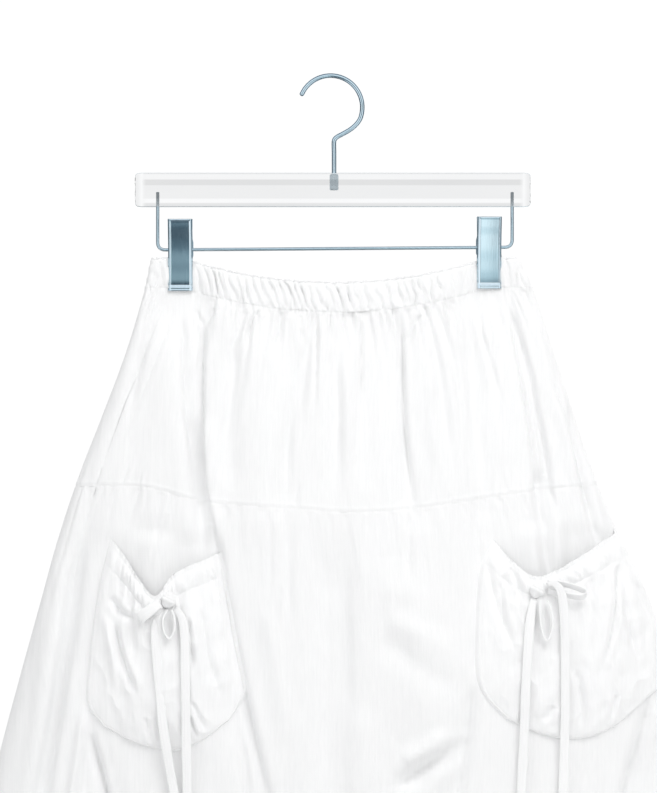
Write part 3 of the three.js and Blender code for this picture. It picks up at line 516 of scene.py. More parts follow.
def add_tie(name, route, width, thickness, across, pinch, seed):
    """A flat tie of folded cloth. pinch is how much narrower the knot makes it."""
    line, length = smooth_route(route, TIE_PLACES)
    along = unit(np.gradient(line, axis=0))
    if across is None:
        across = np.cross(along, np.array([0.0, 1.0, 0.0]))
    side = square_to(along, np.broadcast_to(across, line.shape))
    out = unit(np.cross(along, side))
    gone = np.linspace(0, length, TIE_PLACES)
    narrow = 1 - pinch * bell(gone / 0.012) - 0.06 * (1 + value_noise(gone / 0.03, gone * 0, seed))
    shares = np.concatenate([TIE_SHARES, TIE_SHARES[::-1]])
    thick = thickness / 2 * np.concatenate([TIE_THICK, -TIE_THICK[::-1]])
    twist = 0.16 * value_noise(gone / 0.05, gone * 0 + 3.3, seed + 1)
    wave = 0.0004 * value_noise(gone / 0.012, gone * 0 + 7.7, seed + 2)
    sideways = shares * (width / 2 * narrow)[:, None]
    outwards = thick + wave[:, None] + (twist * width / 2)[:, None] * shares
    points = line[:, None] + side[:, None] * sideways[..., None] + out[:, None] * outwards[..., None]
    rows, columns = sideways.shape
    quads = [*grid_quads(rows, columns, wrap=True)]
    for start, turn in ((0, 1), ((rows - 1) * columns, -1)):
        for k in range(columns // 2 - 1):
            strip = (start + k, start + k + 1, start + columns - 2 - k, start + columns - 1 - k)
            quads.append(strip[::turn])
    flat = np.stack(np.broadcast_arrays(shares * width / 2, gone[:, None]), axis=-1).reshape(-1, 2)
    maps = {"cut": flat, "seam": flat + np.array([width / 2, 0])}
    return add_piece(name + "_cloth", name, points, quads, cotton_tie, maps), line, length


def add_knot(name, centre, seed):
    """A tight wrapped knot: a lump with two bands of cloth round it."""
    rows, columns = 40, 56
    polar = np.linspace(0.04, math.pi - 0.04, rows)[:, None]
    turn = np.linspace(0, 2 * math.pi, columns, endpoint=False)[None, :]
    x, y, z = np.sin(polar) * np.cos(turn), np.sin(polar) * np.sin(turn), np.cos(polar) * np.ones_like(turn)
    slant = z * 0.9 + x * 0.45
    bands = 0.10 * np.cos(slant * 5.6) - 0.16 * bell((slant - 0.15) / 0.13)
    size = 1 + bands + 0.05 * value_noise(x * 3 + 9, z * 3 + y, seed)
    points = (np.stack([x * size, y * size, z * size], axis=-1) * KNOT_SIZE + centre).reshape(-1, 3)
    quads = capped_quads(rows, columns, inside_out=True)
    return add_piece(name + "_cloth", name, points, quads, cotton_band, {"cut": points[:, [0, 2]]})


knots = {name: add_knot(name, centre, 31 + i) for i, (name, centre) in enumerate(KNOTS.items())}
for index, (name, (width, across, route)) in enumerate(LOOPS.items()):
    add_tie(name, route, width, 0.0018, across, 0.25, 60 + 5 * index)[0]
for index, (name, route) in enumerate(TAILS.items()):
    pinch = 0.45 if name == "tail_2_right" else 0.2
    tail, line, length = add_tie(name, route, TIE_WIDTH, 0.0019, None, pinch, 90 + 5 * index)
    side = name.split("_")[-1]
    tuple(line[0])
    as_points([tuple(p) for p in line[::3]] + [tuple(line[-1])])

# ---------------------------------------------------------------- the surface of the skirt

# The tables from here on are in millimetres, and are the ones that the solids are made from.

# z, left, right, edge, front, back
SECTIONS = np.array([
    (-155, -161, 163, 5, 4, 4), (-177, -165, 174, 5.5, 6, 6), (-200, -171, 183, 6.5, 9, 9),
    (-250, -186, 199, 9, 15, 14), (-303, -206, 216, 12, 21, 19), (-357, -227, 234, 15, 26, 24),
    (-411, -245, 256, 18, 30, 28), (-465, -260, 277, 21, 33, 31), (-537, -280, 302, 24, 35, 34),
    (-609, -299, 321, 27, 37, 36), (-680, -314, 336, 30, 38, 37), (-750, -323, 345, 32, 38, 38),
    (-810, -322, 344, 33, 36, 36), (-865, -308, 330, 31, 32, 32), (-905, -285, 307, 28, 28, 28),
    (-935, -255, 277, 25, 23, 23), (-952, -236, 258, 22, 20, 20), (-980, -230, 252, 21, 19, 19),
], float)
# x, z
YOKE_SEAM_FRONT = np.array([
    (-235, -367), (-165, -368), (-118, -380), (-30, -387), (19, -390), (70, -387), (132, -378), (183, -371),
    (240, -365),
], float)
YOKE_SEAM_BACK = np.array([
    (-235, -367), (-120, -379), (0, -388), (130, -377), (240, -365),
], float)
# z, how far round the side seams are turned
SEAM_TURN = np.array([
    (-160, 22), (-209, 24), (-281, 22), (-362, 27), (-406, 30), (-500, 40), (-636, 56), (-975, 56),
], float)
# x, z, end x, end z, bow, width, depth
FRONT_FOLDS = [
    (-118, -205, -110, -402, -5, 10, -7), (-108, -395, -42, -760, -7, 13, -6),
    (-150, -230, -158, -420, 4, 22, 4), (-84, -235, -92, -372, -3, 9, -3.5),
    (-58, -220, -66, -430, 0, 18, 3.5), (-25, -225, -44, -400, -4, 11, -4), (24, -200, 26, -372, 2, 11, -3),
    (60, -205, 72, -410, -6, 10, -6), (126, -215, 134, -420, 4, 16, -4.5), (155, -190, 196, -400, 3, 11, -5),
    (-214, -362, -300, -830, 2, 12, -6), (-214, -586, -172, -790, 0, 13, -6), (-2, -392, -4, -820, 4, 26, -5),
    (52, -430, 92, -640, 8, 20, 5), (112, -590, 62, -640, 0, 15, -5), (120, -545, 104, -790, -4, 13, -5),
    (278, -590, 250, -800, 0, 14, -6), (190, -640, 182, -850, 4, 20, 5),
]
BACK_FOLDS = [
    (-135, -205, -165, -400, 4, 13, -5), (-78, -215, -92, -420, -5, 12, -6),
    (-20, -210, -14, -380, 3, 12, -4), (44, -220, 58, -430, 5, 11, -6), (104, -210, 128, -390, -3, 14, -4.5),
    (150, -200, 192, -410, 4, 12, -5), (-222, -400, -256, -800, -6, 16, -6),
    (-136, -440, -148, -830, 8, 20, -6), (-40, -420, -58, -760, -6, 18, 5), (30, -500, 38, -850, 5, 19, -6),
    (116, -430, 136, -790, -7, 17, 5), (196, -470, 226, -840, 6, 17, -6),
]

CLOTH = 2
POCKET_CLOTH = 1.5
PATCH_GAP = 1.75
WAIST_Z = -162
BAND_HEIGHT = 27
WAIST_SAG = {"front": 22, "back": 24}
HEM_SEAM_Z = -950
HEM_Z = -975
FOLD_RISE = 2.2
HEM_WAVES, HEM_DEPTH, HEM_REACH = 20, 5, 150
GRIP = {"half": 3.9, "reach": 13, "fade": 24, "under": 4, "fade_down": 48}
CLIP_X = {"left": -136.6, "right": 140.2}
CLIP_LIP = -37
ROD = {
    "wire": 3, "left": -157.5, "right": 161.5, "left_z": -154.8, "right_z": -152.4, "bend": 7, "top_z": -103,
}
BACK_AWAY = 1500  # how far the back's noise lies from the front's


def smooth(table, place, column=1):
    """The solids' smooth curve through a column of a table, over its first column."""
    keys, values = table[:, 0], table[:, column]
    if keys[0] > keys[-1]:
        keys, values = keys[::-1], values[::-1]
    rows = np.arange(len(keys))
    before, after = np.maximum(rows - 1, 0), np.minimum(rows + 1, len(keys) - 1)
    slopes = (values[after] - values[before]) / (keys[after] - keys[before])
    place = np.clip(place, keys[0], keys[-1])
    row = np.clip(np.searchsorted(keys, place, side="right") - 1, 0, len(keys) - 2)
    step = keys[row + 1] - keys[row]
    t = (place - keys[row]) / step
    return (
        (2 * t**3 - 3 * t**2 + 1) * values[row]
        + (t**3 - 2 * t**2 + t) * slopes[row] * step
        + (3 * t**2 - 2 * t**3) * values[row + 1]
        + (t**3 - t**2) * slopes[row + 1] * step
    )


def section_at(z):
    """Middle, half width, edge radius, depth in front and behind, and the length of one layer."""
    left, right, edge, front, back = (smooth(SECTIONS, z, column) for column in range(1, 6))
    half = (right - left) / 2
    return (right + left) / 2, half, edge, front, back, 2 * (half - edge) + math.pi * edge


def layer_length(z):
    return section_at(z)[5]


def rod_z(x):
    return mix(ROD["left_z"], ROD["right_z"], (x - ROD["left"]) / (ROD["right"] - ROD["left"]))


def from_clip(x):
    return np.abs(x - np.where(x < 0, CLIP_X["left"], CLIP_X["right"]))


def grip_at(x, z):
    beside = 1 - rise((from_clip(x) - GRIP["reach"]) / GRIP["fade"])
    under = 1 - rise((rod_z(x) + CLIP_LIP - GRIP["under"] - z) / GRIP["fade_down"])
    return beside * under


def plain_point(share, z):
    """x, y, whether it is behind, and how open the cloth is there."""
    share = np.mod(share, 2)
    middle, half, edge, front, back, length = section_at(z)
    behind = share > 1
    along = np.where(behind, 2 - share, share) * length
    from_edge = np.minimum(along, length - along)
    turn = np.minimum(from_edge / edge, math.pi / 2)
    side = np.where(along < length / 2, -1, 1)
    straight = half - edge - np.maximum(0, from_edge - math.pi / 2 * edge)
    x = side * (straight + edge * np.cos(turn))
    deep = edge * np.sin(turn) + np.where(behind, back, front) * (1 - (x / half) ** 2)
    grip = grip_at(middle + x, z)
    y = mix(deep, np.minimum(deep, GRIP["half"]), grip)
    return middle + x, np.where(behind, y, -y), behind, np.sin(turn) * (1 - grip)


def plain_vector(share, z):
    x, y, _, _ = plain_point(share, z)
    return np.stack([x, y, np.broadcast_to(z, x.shape)], axis=-1)


def flat_along(share, z):
    """Distance along the cloth from the middle of its own layer, the back's far from the front's."""
    share = np.mod(share, 2)
    behind = share > 1
    return np.where(behind, share - 1.5, share - 0.5) * layer_length(z) + np.where(behind, BACK_AWAY, 0)


def outward_of(surface, share, z):
    step = 0.002
    across = surface(share + step, z) - surface(share - step, z)
    return unit(np.stack([across[..., 1], -across[..., 0], np.zeros(across.shape[:-1])], axis=-1))


def pushed_out(surface, share, z, out):
    return surface(share, z) + outward_of(surface, share, z) * out[..., None]


def fold_depth(folds, x, z):
    depth = np.zeros(np.shape(x))
    for from_x, from_z, end_x, end_z, bow, width, deep in folds:
        share = (z - from_z) / (end_z - from_z)
        bend = np.sin(math.pi * np.clip(share, 0, 1))
        away = (x - mix(from_x, end_x, share) - bow * bend) / width
        depth = depth + deep * np.minimum(1, FOLD_RISE * bend) * bell(away)
    return depth


def gather_depth(share, z):
    near = np.clip(1 - (z - HEM_SEAM_Z) / HEM_REACH, 0, 1)
    return HEM_DEPTH * near * near * np.cos(math.pi * HEM_WAVES * np.mod(share, 2))


def folded_vector(share, z):
    x, _, behind, open_share = plain_point(share, z)
    folds = np.where(behind, fold_depth(BACK_FOLDS, x, z), fold_depth(FRONT_FOLDS, x, z))
    return pushed_out(plain_vector, share, z, folds * open_share + gather_depth(share, z))


def band_top(x, behind):
    middle = (CLIP_X["left"] + CLIP_X["right"]) / 2
    reach = (CLIP_X["right"] - CLIP_X["left"]) / 2
    sag = np.where(behind, WAIST_SAG["back"], WAIST_SAG["front"])
    return WAIST_Z - sag * np.maximum(0, 1 - ((x - middle) / reach) ** 2)


def band_bottom(x, behind):
    return band_top(x, behind) - BAND_HEIGHT


def yoke_seam(x, behind):
    return np.where(behind, smooth(YOKE_SEAM_BACK, x), smooth(YOKE_SEAM_FRONT, x))


def hem_seam(x, behind):
    return np.full(np.shape(x), float(HEM_SEAM_Z))


def hem_line(x, behind):
    return np.full(np.shape(x), float(HEM_Z))


def place_between(round_share, down, top, bottom):
    """The share and height at a share round from the left side seam and a share down between two lines."""
    z = np.full(np.shape(round_share), float(top(np.zeros(1), False)[0] + bottom(np.zeros(1), False)[0]) / 2)
    for _ in range(12):
        share = np.mod(round_share + smooth(SEAM_TURN, z) / layer_length(z), 2)
        x, _, behind, _ = plain_point(share, z)
        z = mix(top(x, behind), bottom(x, behind), down)
    return share, z


# ---------------------------------------------------------------- creases

# Creases and small ridges in the cloth, as it is seen from its own side. A depth below zero is a
# trough. crisp is 0 for a soft dip and 1 for a pressed line.
# x, z, end x, end z, bow, width, depth, crisp
FRONT_CREASES = [
    (-116, -211, -111, -400, -4, 3.4, -2.8, 0.7), (-124, -208, -116, -225, 0, 2.2, -1.6, 0.5),
    (-106, -207, -115, -225, 0, 2.2, -1.6, 0.5), (-136, -204, -116, -381, -3, 7, -1.5, 0),
    (-88, -234, -104, -359, 3, 4.8, -1.3, 0.1), (-78, -207, -93, -247, 2, 2.8, -1.5, 0.4),
    (-66, -208, -78, -242, -2, 2.3, -2.1, 0.7), (-45, -210, -53, -247, 1, 2.3, -1.4, 0.4),
    (-29, -212, -28, -241, 0, 2.1, -1.3, 0.4), (-28, -242, -43, -382, -3, 3.8, -1.6, 0.3),
    (-14.5, -211, -17, -313, 1, 2.1, -1.7, 0.8), (-1.6, -242, 2, -388, 2, 5.6, -1.2, 0),
    (24.5, -211, 25.4, -299, 0.6, 1.9, -1.7, 0.9), (42, -209, 45, -262, 1, 2.6, -1.1, 0.2),
    (63, -209, 73, -396, -5, 3.2, -2.8, 0.7), (80, -212, 66, -242, -1, 2.2, -1.8, 0.5),
    (92, -203, 115, -322, 6, 3.1, -1.6, 0.4), (104, -203, 109, -237, 0, 2.2, -1.3, 0.3),
    (122.6, -203, 134, -374, -2, 7, -2.2, 0), (131, -200, 134, -247, 1, 2.5, -1.4, 0.3),
    (-18, -207, -33, -322, 1, 4.5, -1.7, 0.1), (7, -216, 7, -366, -2, 5, -1.4, 0.1),
    (88, -226, 109, -366, 1, 4, -1.5, 0.2), (-57, -386, -56, -466, 1, 3, -1.2, 0.3),
    (-40, -384, -38, -508, -1, 5, -1.5, 0.1), (69, -388, 68, -456, 0, 3, -1.5, 0.3),
    (155, -188, 190, -404, 2, 2.5, -2.3, 0.6), (161, -204, 202, -412, 3, 3.4, -2.5, 0.4),
    (186, -348, 195, -466, -1, 6, -4, 0.1), (211, -284, 239, -432, 0, 3.8, -3.8, 0.2),
    (134, -228, 149, -290, 1, 2.4, -1.2, 0.5), (196, -268, 224, -350, 1, 2.4, -1.3, 0.5),
    (-136, -206, -124, -360, -1, 3, -1.8, 0.3), (-124, -300, -112, -446, -1, 6, -3.8, 0),
    (-109, -340, -103, -456, 0, 5, 0.9, 0), (-159, -404, -160, -516, 0, 17, 3.5, 0),
    (181, -396, 182, -506, 0, 17, 3, 0), (-158, -196, -186, -330, -2, 4.5, -1.2, 0.1),
    (88, -250, 96, -372, -3, 5, 1.1, 0), (8, -250, 12, -372, 2, 5, 0.9, 0),
    (-226, -404, -274, -720, 2, 6, -3.2, 0.2), (-222, -562, -240, -700, 0, 4.6, 2.6, 0),
    (-218, -584, -190, -710, 2, 3.6, -3.4, 0.5), (-244, -470, -286, -700, 2, 7, 2.2, 0),
    (-112, -370, -44, -700, -5, 4.4, -3.2, 0.5), (-82, -585, -74, -720, 1, 3.4, -1.7, 0.3),
    (-60, -470, -40, -610, 2, 7, 1.4, 0), (-17, -396, -12, -640, 1, 8, -1.1, 0),
    (15, -400, 12, -600, -2, 7, -1, 0), (40, -500, 122, -556, -3, 10, -1.5, 0),
    (46, -482, 112, -520, 2, 8, 1, 0), (58, -634, 122, -598, 2, 6, -2.9, 0.2),
    (60, -612, 108, -584, -2, 7, 2, 0), (-4, -400, -8, -700, 3, 12, -2, 0), (28, -560, 24, -720, 0, 12, 2, 0),
    (126, -540, 106, -670, 2, 4.6, -2.1, 0.4), (284, -552, 252, -690, 1, 4.8, -3.2, 0.3),
    (232, -398, 262, -470, 2, 4, -1, 0.1), (-150, -640, -160, -860, 4, 6, -1.8, 0.1),
    (-60, -700, -74, -905, -3, 6.5, -2, 0.2), (22, -680, 30, -890, 3, 6, -1.8, 0.1),
    (140, -690, 150, -900, -4, 6, -2, 0.2), (226, -660, 232, -890, 3, 6, -1.8, 0.1),
    (-262, -700, -232, -905, -4, 6, -2, 0.2),
]
BACK_CREASES = [
    (-150, -200, -186, -345, -3, 3.4, -1.8, 0.5), (-128, -206, -137, -372, 4, 3.2, -1.9, 0.7),
    (-112, -212, -108, -262, 1, 2.3, -1.5, 0.4), (-94, -212, -104, -318, -2, 2.6, -1.6, 0.6),
    (-72, -214, -82, -380, 3, 4.4, -1.5, 0.2), (-55, -216, -51, -256, 0, 2.2, -1.5, 0.4),
    (-38, -216, -46, -340, 2, 2.8, -1.6, 0.6), (-16, -217, -10, -384, -3, 5.2, -1.3, 0),
    (4, -217, 2, -290, 1, 2.1, -1.6, 0.8), (22, -217, 33, -262, -1, 2.3, -1.5, 0.4),
    (40, -216, 55, -382, 4, 3.4, -2, 0.6), (64, -214, 63, -252, 0, 2.2, -1.4, 0.4),
    (84, -212, 98, -330, -3, 3, -1.7, 0.5), (108, -208, 122, -374, 3, 5.6, -1.4, 0.1),
    (132, -203, 140, -258, 1, 2.5, -1.5, 0.4), (152, -197, 188, -352, 3, 3.4, -2, 0.6),
    (-232, -404, -268, -700, -4, 5.6, -2.2, 0.2), (-170, -392, -182, -600, 3, 5, -1.7, 0.1),
    (-96, -396, -70, -690, 5, 4.8, -2.2, 0.4), (-30, -400, -24, -560, 2, 6.5, -1.3, 0),
    (24, -520, 70, -600, -4, 8, -1.5, 0), (66, -396, 92, -660, -5, 4.8, -2.1, 0.4),
    (158, -388, 176, -640, 4, 5.2, -1.9, 0.2), (236, -398, 272, -690, 3, 5.6, -2.2, 0.2),
    (-214, -640, -196, -900, 4, 6, -2, 0.2), (-120, -680, -134, -905, -4, 6, -1.9, 0.1),
    (-20, -660, -10, -900, 4, 6.5, -2, 0.2), (70, -700, 82, -905, -3, 6, -1.8, 0.1),
    (150, -660, 142, -890, 3, 6, -2, 0.2), (252, -690, 232, -905, -3, 6, -1.9, 0.1),
]
LEFT_POCKET_CREASES = [
    (-201, -424, -212, -509, -4, 3.2, -1.8, 0.3), (-204, -476, -190, -563, 2, 4, 1.8, 0),
    (-194, -488, -170, -556, -3, 3, -2.9, 0.4), (-198, -465, -171, -487, -4, 3.4, -2.6, 0.3),
    (-178, -470, -176, -520, 1, 2.8, -1.4, 0.3), (-127.6, -481, -123.5, -536, 1, 2.6, -1.6, 0.3),
    (-117.7, -472, -99, -562, -3, 3, -2.4, 0.6), (-111, -446, -99, -480, 0, 2.3, -1.8, 0.4),
    (-97, -456, -91, -500, 1, 2.4, -1.4, 0.3), (-127.6, -571, -119.5, -592, 0, 2, -1.2, 0.3),
    (-124, -558, -112.5, -585, 0, 2, -1.2, 0.3), (-166, -572, -160, -598, 0, 2.2, -1.1, 0.2),
]
RIGHT_POCKET_CREASES = [
    (137, -432, 165, -521, -4, 3.4, -2.5, 0.6), (157, -438, 167, -469, 1, 2.8, -1.8, 0.3),
    (214, -528, 221, -588, 3, 3, -2, 0.4), (195.5, -562, 187, -578, 0, 3, -1.4, 0.1),
    (253, -429, 234, -541, 5, 2.6, -2.4, 0.8), (255, -432, 276.5, -538, -4, 3, -2, 0.5),
    (229, -446, 226, -492, 1, 2.6, -1.5, 0.3), (148, -452, 150, -492, 1, 2.3, -1.4, 0.3),
    (266, -452, 284, -500, 1, 2.4, -1.4, 0.3), (170, -566, 163, -584, 0, 2, -1.1, 0.2),
    (252, -552, 246, -580, 0, 2.2, -1.2, 0.2),
]

CREASE_DEPTH = 1.95
CREASE_SHOULDER = 0.42  # how high the cloth rises beside a crease, as a share of its depth
CREASE_START, CREASE_END = 0.16, 0.38  # shares of its length over which a crease deepens and fades


def crease_depth(creases, x, z):
    """What a table of creases adds to the way out at each place."""
    depth = np.zeros(np.shape(x))
    for from_x, from_z, end_x, end_z, bow, width, deep, crisp in creases:
        run_x, run_z = end_x - from_x, end_z - from_z
        long = math.hypot(run_x, run_z)
        share = ((x - from_x) * run_x + (z - from_z) * run_z) / long**2
        inside = (share > 0) & (share < 1)
        share = np.clip(share, 0, 1)
        away = ((x - from_x) * run_z - (z - from_z) * run_x) / long
        away = -(away + bow * np.sin(math.pi * share)) / width
        line = mix(bell(away), np.exp(-1.5 * np.abs(away)), crisp)
        shoulder = CREASE_SHOULDER * (bell((away - 1.9) / 1.2) + 0.5 * bell((away + 2.1) / 1.3))
        ends = rise(share / CREASE_START) * rise((1 - share) / CREASE_END)
        depth = depth + CREASE_DEPTH * deep * inside * ends * (line - shoulder)
    return depth


def cloth_noise(along, z, seed):
    """The uneven crinkle of pressed cotton, longer down the cloth than across it."""
    fine = value_noise(along / 4.6 + 40, z / 46 + 40, seed)
    broad = value_noise(along / 13 + 20, z / 120 + 20, seed + 1)
    slack = value_noise(along / 34 + 10, z / 90 + 10, seed + 2)
    crumple = value_noise(along / 17 + z / 60 + 10, z / 21 - along / 50 + 30, seed + 3)
    return 0.26 * fine + 0.8 * broad + 1.3 * slack + 0.3 * crumple


def draw_gathers(seed, count, reach, width, deep):
    """Uneven gathers side by side: place, reach, width, depth and lean of each."""
    random = np.random.default_rng(seed)
    for index in range(count):
        place = (index + random.uniform(0.2, 0.8)) / count
        yield place, *(random.uniform(*limits) for limits in (reach, width, deep, (-0.12, 0.12)))


def gather_line(away, crisp):
    """A gather's cross section: a trough with a bank beside it."""
    return mix(bell(away), np.exp(-1.4 * np.abs(away)), crisp) - 0.4 * bell((away - 1.9) / 1.2)


def small_gathers(share, z, seam_z, seed, count, shortest, longest, deepest):
    """Fine uneven gathers that run down from a seam."""
    length, drop = layer_length(z), seam_z - z
    depth = np.zeros(np.shape(share))
    gathers = draw_gathers(seed, count, (shortest, longest), (1.2, 3), (0.25, 1))
    for place, reach, width, deep, lean in gathers:
        away = ((share - place) * length + lean * drop) / (width * (1 + drop / 110))
        fade = np.clip(1 - drop / reach, 0, 1) ** 1.1 * (0.15 + 0.85 * rise(drop / 5))
        depth = depth - deep**1.4 * deepest * fade * gather_line(away, 0.5)
    return depth


LEAST_OPEN = 0.12  # the share of its creases that the cloth keeps in the clips and at its edges


def panel_creases(share, z):
    """Creases and crinkle of a panel, in millimetres out."""
    x, _, behind, open_share = plain_point(share, z)
    creases = np.where(behind, crease_depth(BACK_CREASES, x, z), crease_depth(FRONT_CREASES, x, z))
    return (creases + cloth_noise(flat_along(share, z), z, 11)) * np.maximum(open_share, LEAST_OPEN)


# ---------------------------------------------------------------- skirt pieces


def closer_at_ends(count, crowd):
    share = np.linspace(0, 1, count)
    return share - crowd / (2 * math.pi) * np.sin(2 * math.pi * share)


PANEL_COLUMNS, BAND_COLUMNS, HEM_COLUMNS = 400, 1000, 520
YOKE_ROWS, LOWER_ROWS = 118, 236
SIDE_DIP, WAIST_DIP, JOIN_DIP = 0.8, 0.12, 0.45  # at the side seams, under the waistband, at yoke to lower
SEAM_TUCK = 0.35  # how far an edge runs past its seam line, out of sight
SEAM_TICKS = 1.5  # the small ticks of cloth along the waistband's foot
TICK_WIDTH, TICK_SEED = 1.7, 23


def add_panel(node, start, top, bottom, rows, gathers, dips, ticks, top_relief):
    """A panel between two seam lines.

    gathers are (seed, count, shortest, longest, deepest, whether they run up from its foot).
    """
    columns = closer_at_ends(PANEL_COLUMNS, 0.55)
    down, across = np.meshgrid(closer_at_ends(rows, 0.7), columns, indexing="ij")
    share, z = place_between(start + across, down, top, bottom)
    x, _, behind, open_share = plain_point(share, z)
    top_z, bottom_z = top(x, behind), bottom(x, behind)
    from_top, from_bottom = top_z - z, z - bottom_z
    layer_share = np.where(behind, 2 - np.mod(share, 2), np.mod(share, 2))
    along = flat_along(share, z)
    detail = panel_creases(share, z) * (top_relief + (1 - top_relief) * rise(from_top / 7))
    for *sizes, at_foot in gathers:
        if at_foot:
            detail = detail + small_gathers(layer_share, 2 * bottom_z - z, bottom_z, *sizes)
        else:
            detail = detail + np.maximum(open_share, 0.15) * small_gathers(layer_share, z, top_z, *sizes)
    from_side = np.minimum(across, 1 - across) * layer_length(z)
    # Each edge: the distance from it, a seed, how deep it is drawn in and how wide, and the way along it.
    edges = (
        (from_side, 71, SIDE_DIP, 2.3, z),
        (from_top, 72, dips[0], 1, along),
        (from_bottom, 73, dips[1], 1, along),
    )
    for distance, seed, dip, width, walk in edges:
        pucker = value_noise(walk / 3.6 + 30, distance * 0 + 5.5, seed)
        uneven = 0.72 + 0.28 * value_noise(walk / 11 + 30, distance * 0 + 9.5, seed + 9)
        detail = detail - dip * bell(distance / width) * uneven + 0.22 * pucker * np.exp(-distance / 6)
    tick = value_noise(along / TICK_WIDTH + 30, from_top / 14 + 2, TICK_SEED)
    detail = detail + ticks * tick * np.exp(-from_top / 6) * np.maximum(open_share, 0.3)
    detail = detail + 0.3 * bell((from_bottom - 3.2) / 1.6)
    tucked = z + SEAM_TUCK * (down == 0) - SEAM_TUCK * (down == 1)
    points = pushed_out(folded_vector, share, tucked, CLOTH / 2 + detail)
    piece = add_cloth(node, points, grid_quads(*z.shape), cotton, cut=(along, z))


def casing_places(profile, columns, top, bottom):
    """A casing all round: the distance out, share down, share round and height of its places."""
    half = closer_at_ends(columns // 2 + 1, 0.45)[:-1]
    share = np.broadcast_to(np.concatenate([half, 1 + half]), (len(profile), columns))
    down = np.broadcast_to(profile[:, 1:2], share.shape)
    return profile[:, :1], down, *place_between(share, down, top, bottom)


# Places of the waistband's deep puckers, as distances along its front from the middle.
FRONT_RUCHES = [
    -161, -152, -145, -127, -118, -111.7, -106, -98, -91, -85.3, -76, -69, -61, -53, -46, -40.5, -34, -28,
    -20, -12, -1.5, 6, 14, 21.6, 32.4, 42, 52.4, 58, 65, 73, 82, 90, 101, 112, 121, 130, 147, 154, 163,
]
BACK_RUCHES = {"from": -158, "to": 156, "closest": 5.2, "furthest": 10.5}
RUCHE_DEPTH = 3.9


def add_waistband():
    """The casing is folded over an elastic: up inside, over the top and down outside."""
    # Distance out from the middle of the wall, share down, how much of the puckers it has.
    inside = [(-0.5, 1.0, 0.2), (-0.9, 0.85, 0.5), (-1.1, 0.6, 0.7), (-1.1, 0.35, 0.7), (-1.0, 0.12, 0.6)]
    over = [(-0.8, 0.03, 0.7), (-0.35, -0.012, 0.8), (0.2, -0.02, 0.9), (0.75, 0.0, 0.95)]
    outside_down = [0.02, 0.035, 0.05, 0.065, 0.085, 0.11, 0.16, 0.22, 0.29, 0.37, 0.45, 0.53, 0.61, 0.69]
    outside_down += [0.77, 0.84, 0.9, 0.94]
    outside = [(1.15 + 0.9 * math.sin(math.pi * d), d, 1.0) for d in outside_down]
    foot = [(1.2, 0.965, 0.5), (1.05, 0.985, 0.3), (0.85, 1.0, 0.15), (0.35, 1.008, 0.1)]
    profile = np.array(inside + over + outside + foot)
    wall, down, share, z = casing_places(profile, BAND_COLUMNS, band_top, band_bottom)
    x, _, behind, open_share = plain_point(share, z)
    length = layer_length(z)
    drop = band_top(x, behind) - z
    random = np.random.default_rng(5)
    back = [float(BACK_RUCHES["from"])]
    while back[-1] < BACK_RUCHES["to"]:
        back.append(back[-1] + random.uniform(BACK_RUCHES["closest"], BACK_RUCHES["furthest"]))
    along = np.where(behind, 1.5 - np.mod(share, 2), np.mod(share, 2) - 0.5) * length
    puckers = np.zeros(share.shape)
    for layer, places in ((False, np.array(FRONT_RUCHES)), (True, np.array(back))):
        count = len(places)
        slants = np.interp(places, [-150, -60, 20, 90, 150], [0.12, 0.30, 0.26, 0.10, -0.05])
        slants = slants + 0.08 * random.uniform(-1, 1, count)
        slants[count // 2] = 0.45
        slant = np.interp(along, places, slants)
        phase = np.interp(along - slant * (drop - BAND_HEIGHT * 0.2), places, np.arange(count))
        phase = phase + 0.26 * value_noise(along / 7 + 50, drop / 9 + 9, 17)
        nearest = np.clip(np.round(phase), 0, count - 1).astype(int)
        full = random.uniform(0.45, 1.0, count)[nearest]
        centre = random.uniform(0.1, 0.9, count)[nearest]
        partly = bell((down - centre) / 0.42)
        groove = -np.exp(-np.abs(phase - nearest) * 8.5) * full * (0.3 + 0.7 * partly)
        swell = 0.25 * np.abs(np.sin(math.pi * phase))
        finer_phase = 2.07 * phase + 0.5 * value_noise(along / 11 + 70, drop / 12 + 19, 18)
        finer = -0.5 * np.exp(-np.abs(finer_phase - np.round(finer_phase)) * 5.5)
        finer = finer * (0.5 + 0.5 * value_noise(along / 8 + 90, drop / 7 + 29, 19))
        puckers = np.where(behind == layer, RUCHE_DEPTH * (groove + swell + finer + 0.12), puckers)
    puff = 0.6 + 0.4 * np.sin(math.pi * np.clip(down, 0, 1))
    ticks = value_noise(flat_along(share, z) / TICK_WIDTH + 30, down * 2, TICK_SEED)
    frill = SEAM_TICKS * ticks * bell((down - 0.96) / 0.10)
    # The casing's stitch line near its foot, and the groove under its top edge.
    seams = -(0.35 * bell((down - 0.875) / 0.02) + 1.5 * bell((down - 0.05) / 0.030)) * (wall > 0)
    free = np.maximum(open_share, mix(0.12, 0.55, rise((from_clip(x) - 11) / 4)))
    out = wall + (puckers * puff * profile[:, 2:] + frill + seams) * free
    wobble = 0.5 * puckers * free * (down < 0.05)
    points = plain_vector(share, z + wobble) + outward_of(plain_vector, share, z) * out[..., None]
    quads = grid_quads(*z.shape, wrap=True)
    piece = add_cloth("waistband", points, quads, cotton_band, cut=(np.mod(share, 2) * length, z + wall))


